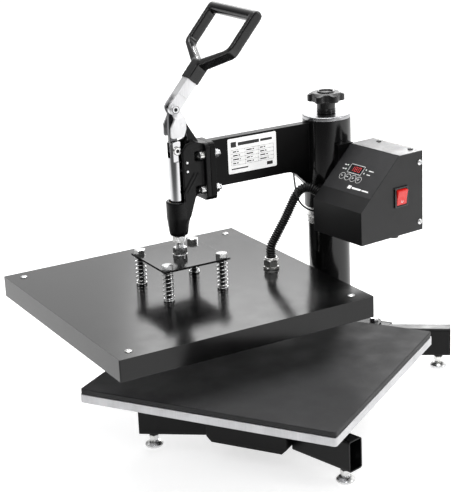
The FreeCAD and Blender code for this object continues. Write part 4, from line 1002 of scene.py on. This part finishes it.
def make_label():
    """White foil label on the arm, with a plain ruled table and no lettering."""
    across = (LABEL_LEFT + LABEL_RIGHT) / 2
    up = (LABEL_BOTTOM + LABEL_TOP) / 2
    place = ARM @ Matrix(((0, 0, 1, LABEL_FACE), (1, 0, 0, across), (0, 1, 0, up), (0, 0, 0, 1)))
    wide = LABEL_RIGHT - LABEL_LEFT
    tall = LABEL_TOP - LABEL_BOTTOM
    foil = rounded_slab(wide, tall, 0.0, 0.25 * MM, 2 * MM, 0.08 * MM, place)
    add_piece("rating_foil", foil, "label_white", "arm")
    bars = []

    def bar(x0, x1, y0, y1):
        bars.append(slab((x0 * MM, y0 * MM, LABEL_PRINT[0]), (x1 * MM, y1 * MM, LABEL_PRINT[1]), place))

    for x in TABLE_COLUMNS:
        bar(x - LINE_HALF, x + LINE_HALF, TABLE_ROWS[0], TABLE_ROWS[-1])
    for y in TABLE_ROWS:
        bar(TABLE_COLUMNS[0], TABLE_COLUMNS[-1], y - LINE_HALF, y + LINE_HALF)
    for row, y in enumerate(CELL_MIDDLES):
        for column, (x0, x1) in enumerate(CELL_SPANS):
            width = 5 + (row * 5 + column * 3) % 7
            bar(x0, x0 + width, y - WORD_HALF, y + WORD_HALF)
            bar(x0 + width + 1.5, min(x1, x0 + width + 4), y - WORD_HALF, y + WORD_HALF)
    for corners in LABEL_BARS:
        bar(*corners)
    add_piece("rating_print", join("rating_print", bars), "print_black", "arm", smooth=0)


# the control panel, in millimetres in the box's frame
PANEL_WIDTH = 107.0
PANEL_TOP_AHEAD = -9.6
PANEL_FRONT = (65.0, 324.0)
PANEL_TOP = 395.0
# what is on it: x from its inner edge and y from its top in millimetres; values with MM in metres
FILM_TOP = -1.5
FILM_BOTTOM = -78.0
PRINT_LOW = 0.22 * MM
PRINT_HIGH = 0.30 * MM
WINDOW_MIDDLE = (44.4, -39.2)
WINDOW_HALF = (14.6, 7.4)
WINDOW_LINE_HALF = 0.3
BUTTON_ROW = -54.4
BUTTON_RING = 5.6 * MM
# each button's x, and the bars of its mark about its middle
BUTTONS = {
    "button_set": (25.6, [(-1.6, 1.6, -0.4, 0.4)]),
    "button_down": (37.6, [(-1.8, 1.8, -0.4, 0.4)]),
    "button_up": (49.5, [(-1.8, 1.8, -0.4, 0.4), (-0.4, 0.4, -1.8, 1.8)]),
    "button_timer": (61.4, [(-1.4, -0.6, -1.6, 1.6), (0.6, 1.4, -1.6, 1.6)]),
}
MARK_LOW = 1.08 * MM
MARK_HIGH = 1.16 * MM
DASHES = ((70, 80, -36.2), (70, 77, -42.8), (17, 21, -35.6), (17, 21, -42.6))
DASH_HALF = 0.7
PANEL_BARS = ((50, 57, -71.5, -66), (59, 78, -70.4, -67.4), (80, 94, -70.0, -67.8))
# each digit and its left edge
DIGITS = (("1", 34.6), ("8", 41.9), ("0", 49.2))
DIGIT_WIDTH = 4.7
DIGIT_HEIGHT = 8.0
DIGIT_STROKE = 0.75
DIGIT_LOW = 0.60 * MM
DIGIT_HIGH = 0.66 * MM
LAMPS = ((24.6, -35.6), (24.6, -42.6), (64.6, -36.2), (64.6, -42.8))
LAMP_RADIUS = 1.45 * MM


def panel_place():
    """A frame on the sloping panel: x across from its inner edge, y up the slope, z out of it."""
    low, high = box_in("control_box_shell", BOX)
    fall = PANEL_TOP - PANEL_FRONT[1]
    run = PANEL_FRONT[0] - PANEL_TOP_AHEAD
    slope = math.atan2(fall, run)
    corner = Vector((low.x, -PANEL_TOP_AHEAD * MM, high.z))
    return BOX @ Matrix.Translation(corner) @ Matrix.Rotation(slope, 4, "X")


def digit_bars(value, left):
    """Seven-segment strokes of one digit as (x0, x1, y0, y1), in millimetres."""
    lit = {"0": "abcdef", "1": "bc", "8": "abcdefg"}[value]
    middle = WINDOW_MIDDLE[1]
    x0, x1 = left, left + DIGIT_WIDTH
    y0, y2 = middle - DIGIT_HEIGHT / 2, middle + DIGIT_HEIGHT / 2
    half = DIGIT_STROKE / 2
    strokes = {
        "a": (x0, x1, y2 - DIGIT_STROKE, y2),
        "b": (x1 - DIGIT_STROKE, x1, middle, y2),
        "c": (x1 - DIGIT_STROKE, x1, y0, middle),
        "d": (x0, x1, y0, y0 + DIGIT_STROKE),
        "e": (x0, x0 + DIGIT_STROKE, y0, middle),
        "f": (x0, x0 + DIGIT_STROKE, middle, y2),
        "g": (x0, x1, middle - half, middle + half),
    }
    return [strokes[key] for key in lit]


def ring_bars(x, y, radius, stroke, place, height):
    """A printed ring as a thin flat band."""
    inner = radius - stroke
    profile = [(inner, height[0]), (radius, height[0]), (radius, height[1]), (inner, height[1])]
    return lathe("ring", profile, place @ Matrix.Translation((x, y, 0.0)), 40)


def make_panel():
    """Overlay film, display digits, lamps, button rings and short dashes in place of words."""
    place = panel_place()
    centre = place @ Matrix.Translation((PANEL_WIDTH / 2 * MM, (FILM_TOP + FILM_BOTTOM) / 2 * MM, 0.0))
    film = rounded_slab((PANEL_WIDTH - 3.0) * MM, (FILM_TOP - FILM_BOTTOM) * MM, 0.0, 0.2 * MM, 1 * MM,
                        0.06 * MM, centre)
    add_piece("panel_film", film, "overlay_black", "arm", smooth=0)

    def bar(x0, x1, y0, y1, low=PRINT_LOW, high=PRINT_HIGH):
        return slab((x0 * MM, y0 * MM, low), (x1 * MM, y1 * MM, high), place)

    x, y = WINDOW_MIDDLE
    half_x, half_y = WINDOW_HALF
    line = WINDOW_LINE_HALF
    prints = [bar(x - half_x, x + half_x, edge - line, edge + line) for edge in (y - half_y, y + half_y)]
    prints += [bar(edge - line, edge + line, y - half_y, y + half_y) for edge in (x - half_x, x + half_x)]
    prints += [ring_bars(x * MM, BUTTON_ROW * MM, BUTTON_RING, 0.5 * MM, place, (PRINT_LOW, PRINT_HIGH))
               for x, _ in BUTTONS.values()]
    prints += [bar(x0, x1, y - DASH_HALF, y + DASH_HALF) for x0, x1, y in DASHES]
    prints += [bar(*corners) for corners in PANEL_BARS]
    add_piece("panel_print", join("panel_print", prints), "print_white", "arm", smooth=0)
    for name, (x, marks) in BUTTONS.items():
        bars = [bar(x + left, x + right, BUTTON_ROW + bottom, BUTTON_ROW + top, MARK_LOW, MARK_HIGH)
                for left, right, bottom, top in marks]
        add_piece(name + "_mark", join(name + "_mark", bars), "print_white", name, smooth=0)
    digits = [bar(*corners, DIGIT_LOW, DIGIT_HIGH) for value, left in DIGITS
              for corners in digit_bars(value, left)]
    add_piece("display_digits", join("display_digits", digits), "red_light", "arm", smooth=0)
    lamps = []
    for x, y in LAMPS:
        base = 0.1 * MM
        dome = [(0.0, base), (LAMP_RADIUS, base), *arc_points((0.0, 0.3 * MM), LAMP_RADIUS, 5, 90, 7)]
        lamps.append(lathe("lamp", dome, place @ Matrix.Translation((x * MM, y * MM, 0.0)), 20))
    add_piece("lamps", join("lamps", lamps), "print_white", "arm")


def make_rocker_marks():
    """A plain ring for off on the rocker's lower half."""
    low, high = box_in("rocker", BOX)
    middle = (low + high) / 2
    lower = BOX @ Matrix.Translation((0.0, middle.y, middle.z - 6.5 * MM))
    face = (high.x + low.x) / 2 + 0.9 * MM
    turn = Matrix.Rotation(math.radians(90), 4, "Y")
    ring = ring_bars(0.0, 0.0, 2.0 * MM, 0.5 * MM, lower @ Matrix.Translation((face, 0.0, 0.0)) @ turn,
                     (-0.4 * MM, 0.12 * MM))
    add_piece("rocker_mark", ring, "print_white", "rocker", smooth=0)


# ---------------------------------------------------------------------------------------------

place_camera()
make_materials()
make_conduit()
make_lead()
studio()
dress_cad_nodes()
make_spindle()
make_springs()
make_pin_socket_shades()
make_top_screw_heads()
make_knob_crown()
make_lock_nuts()
make_gland()
make_label()
make_panel()
make_rocker_marks()
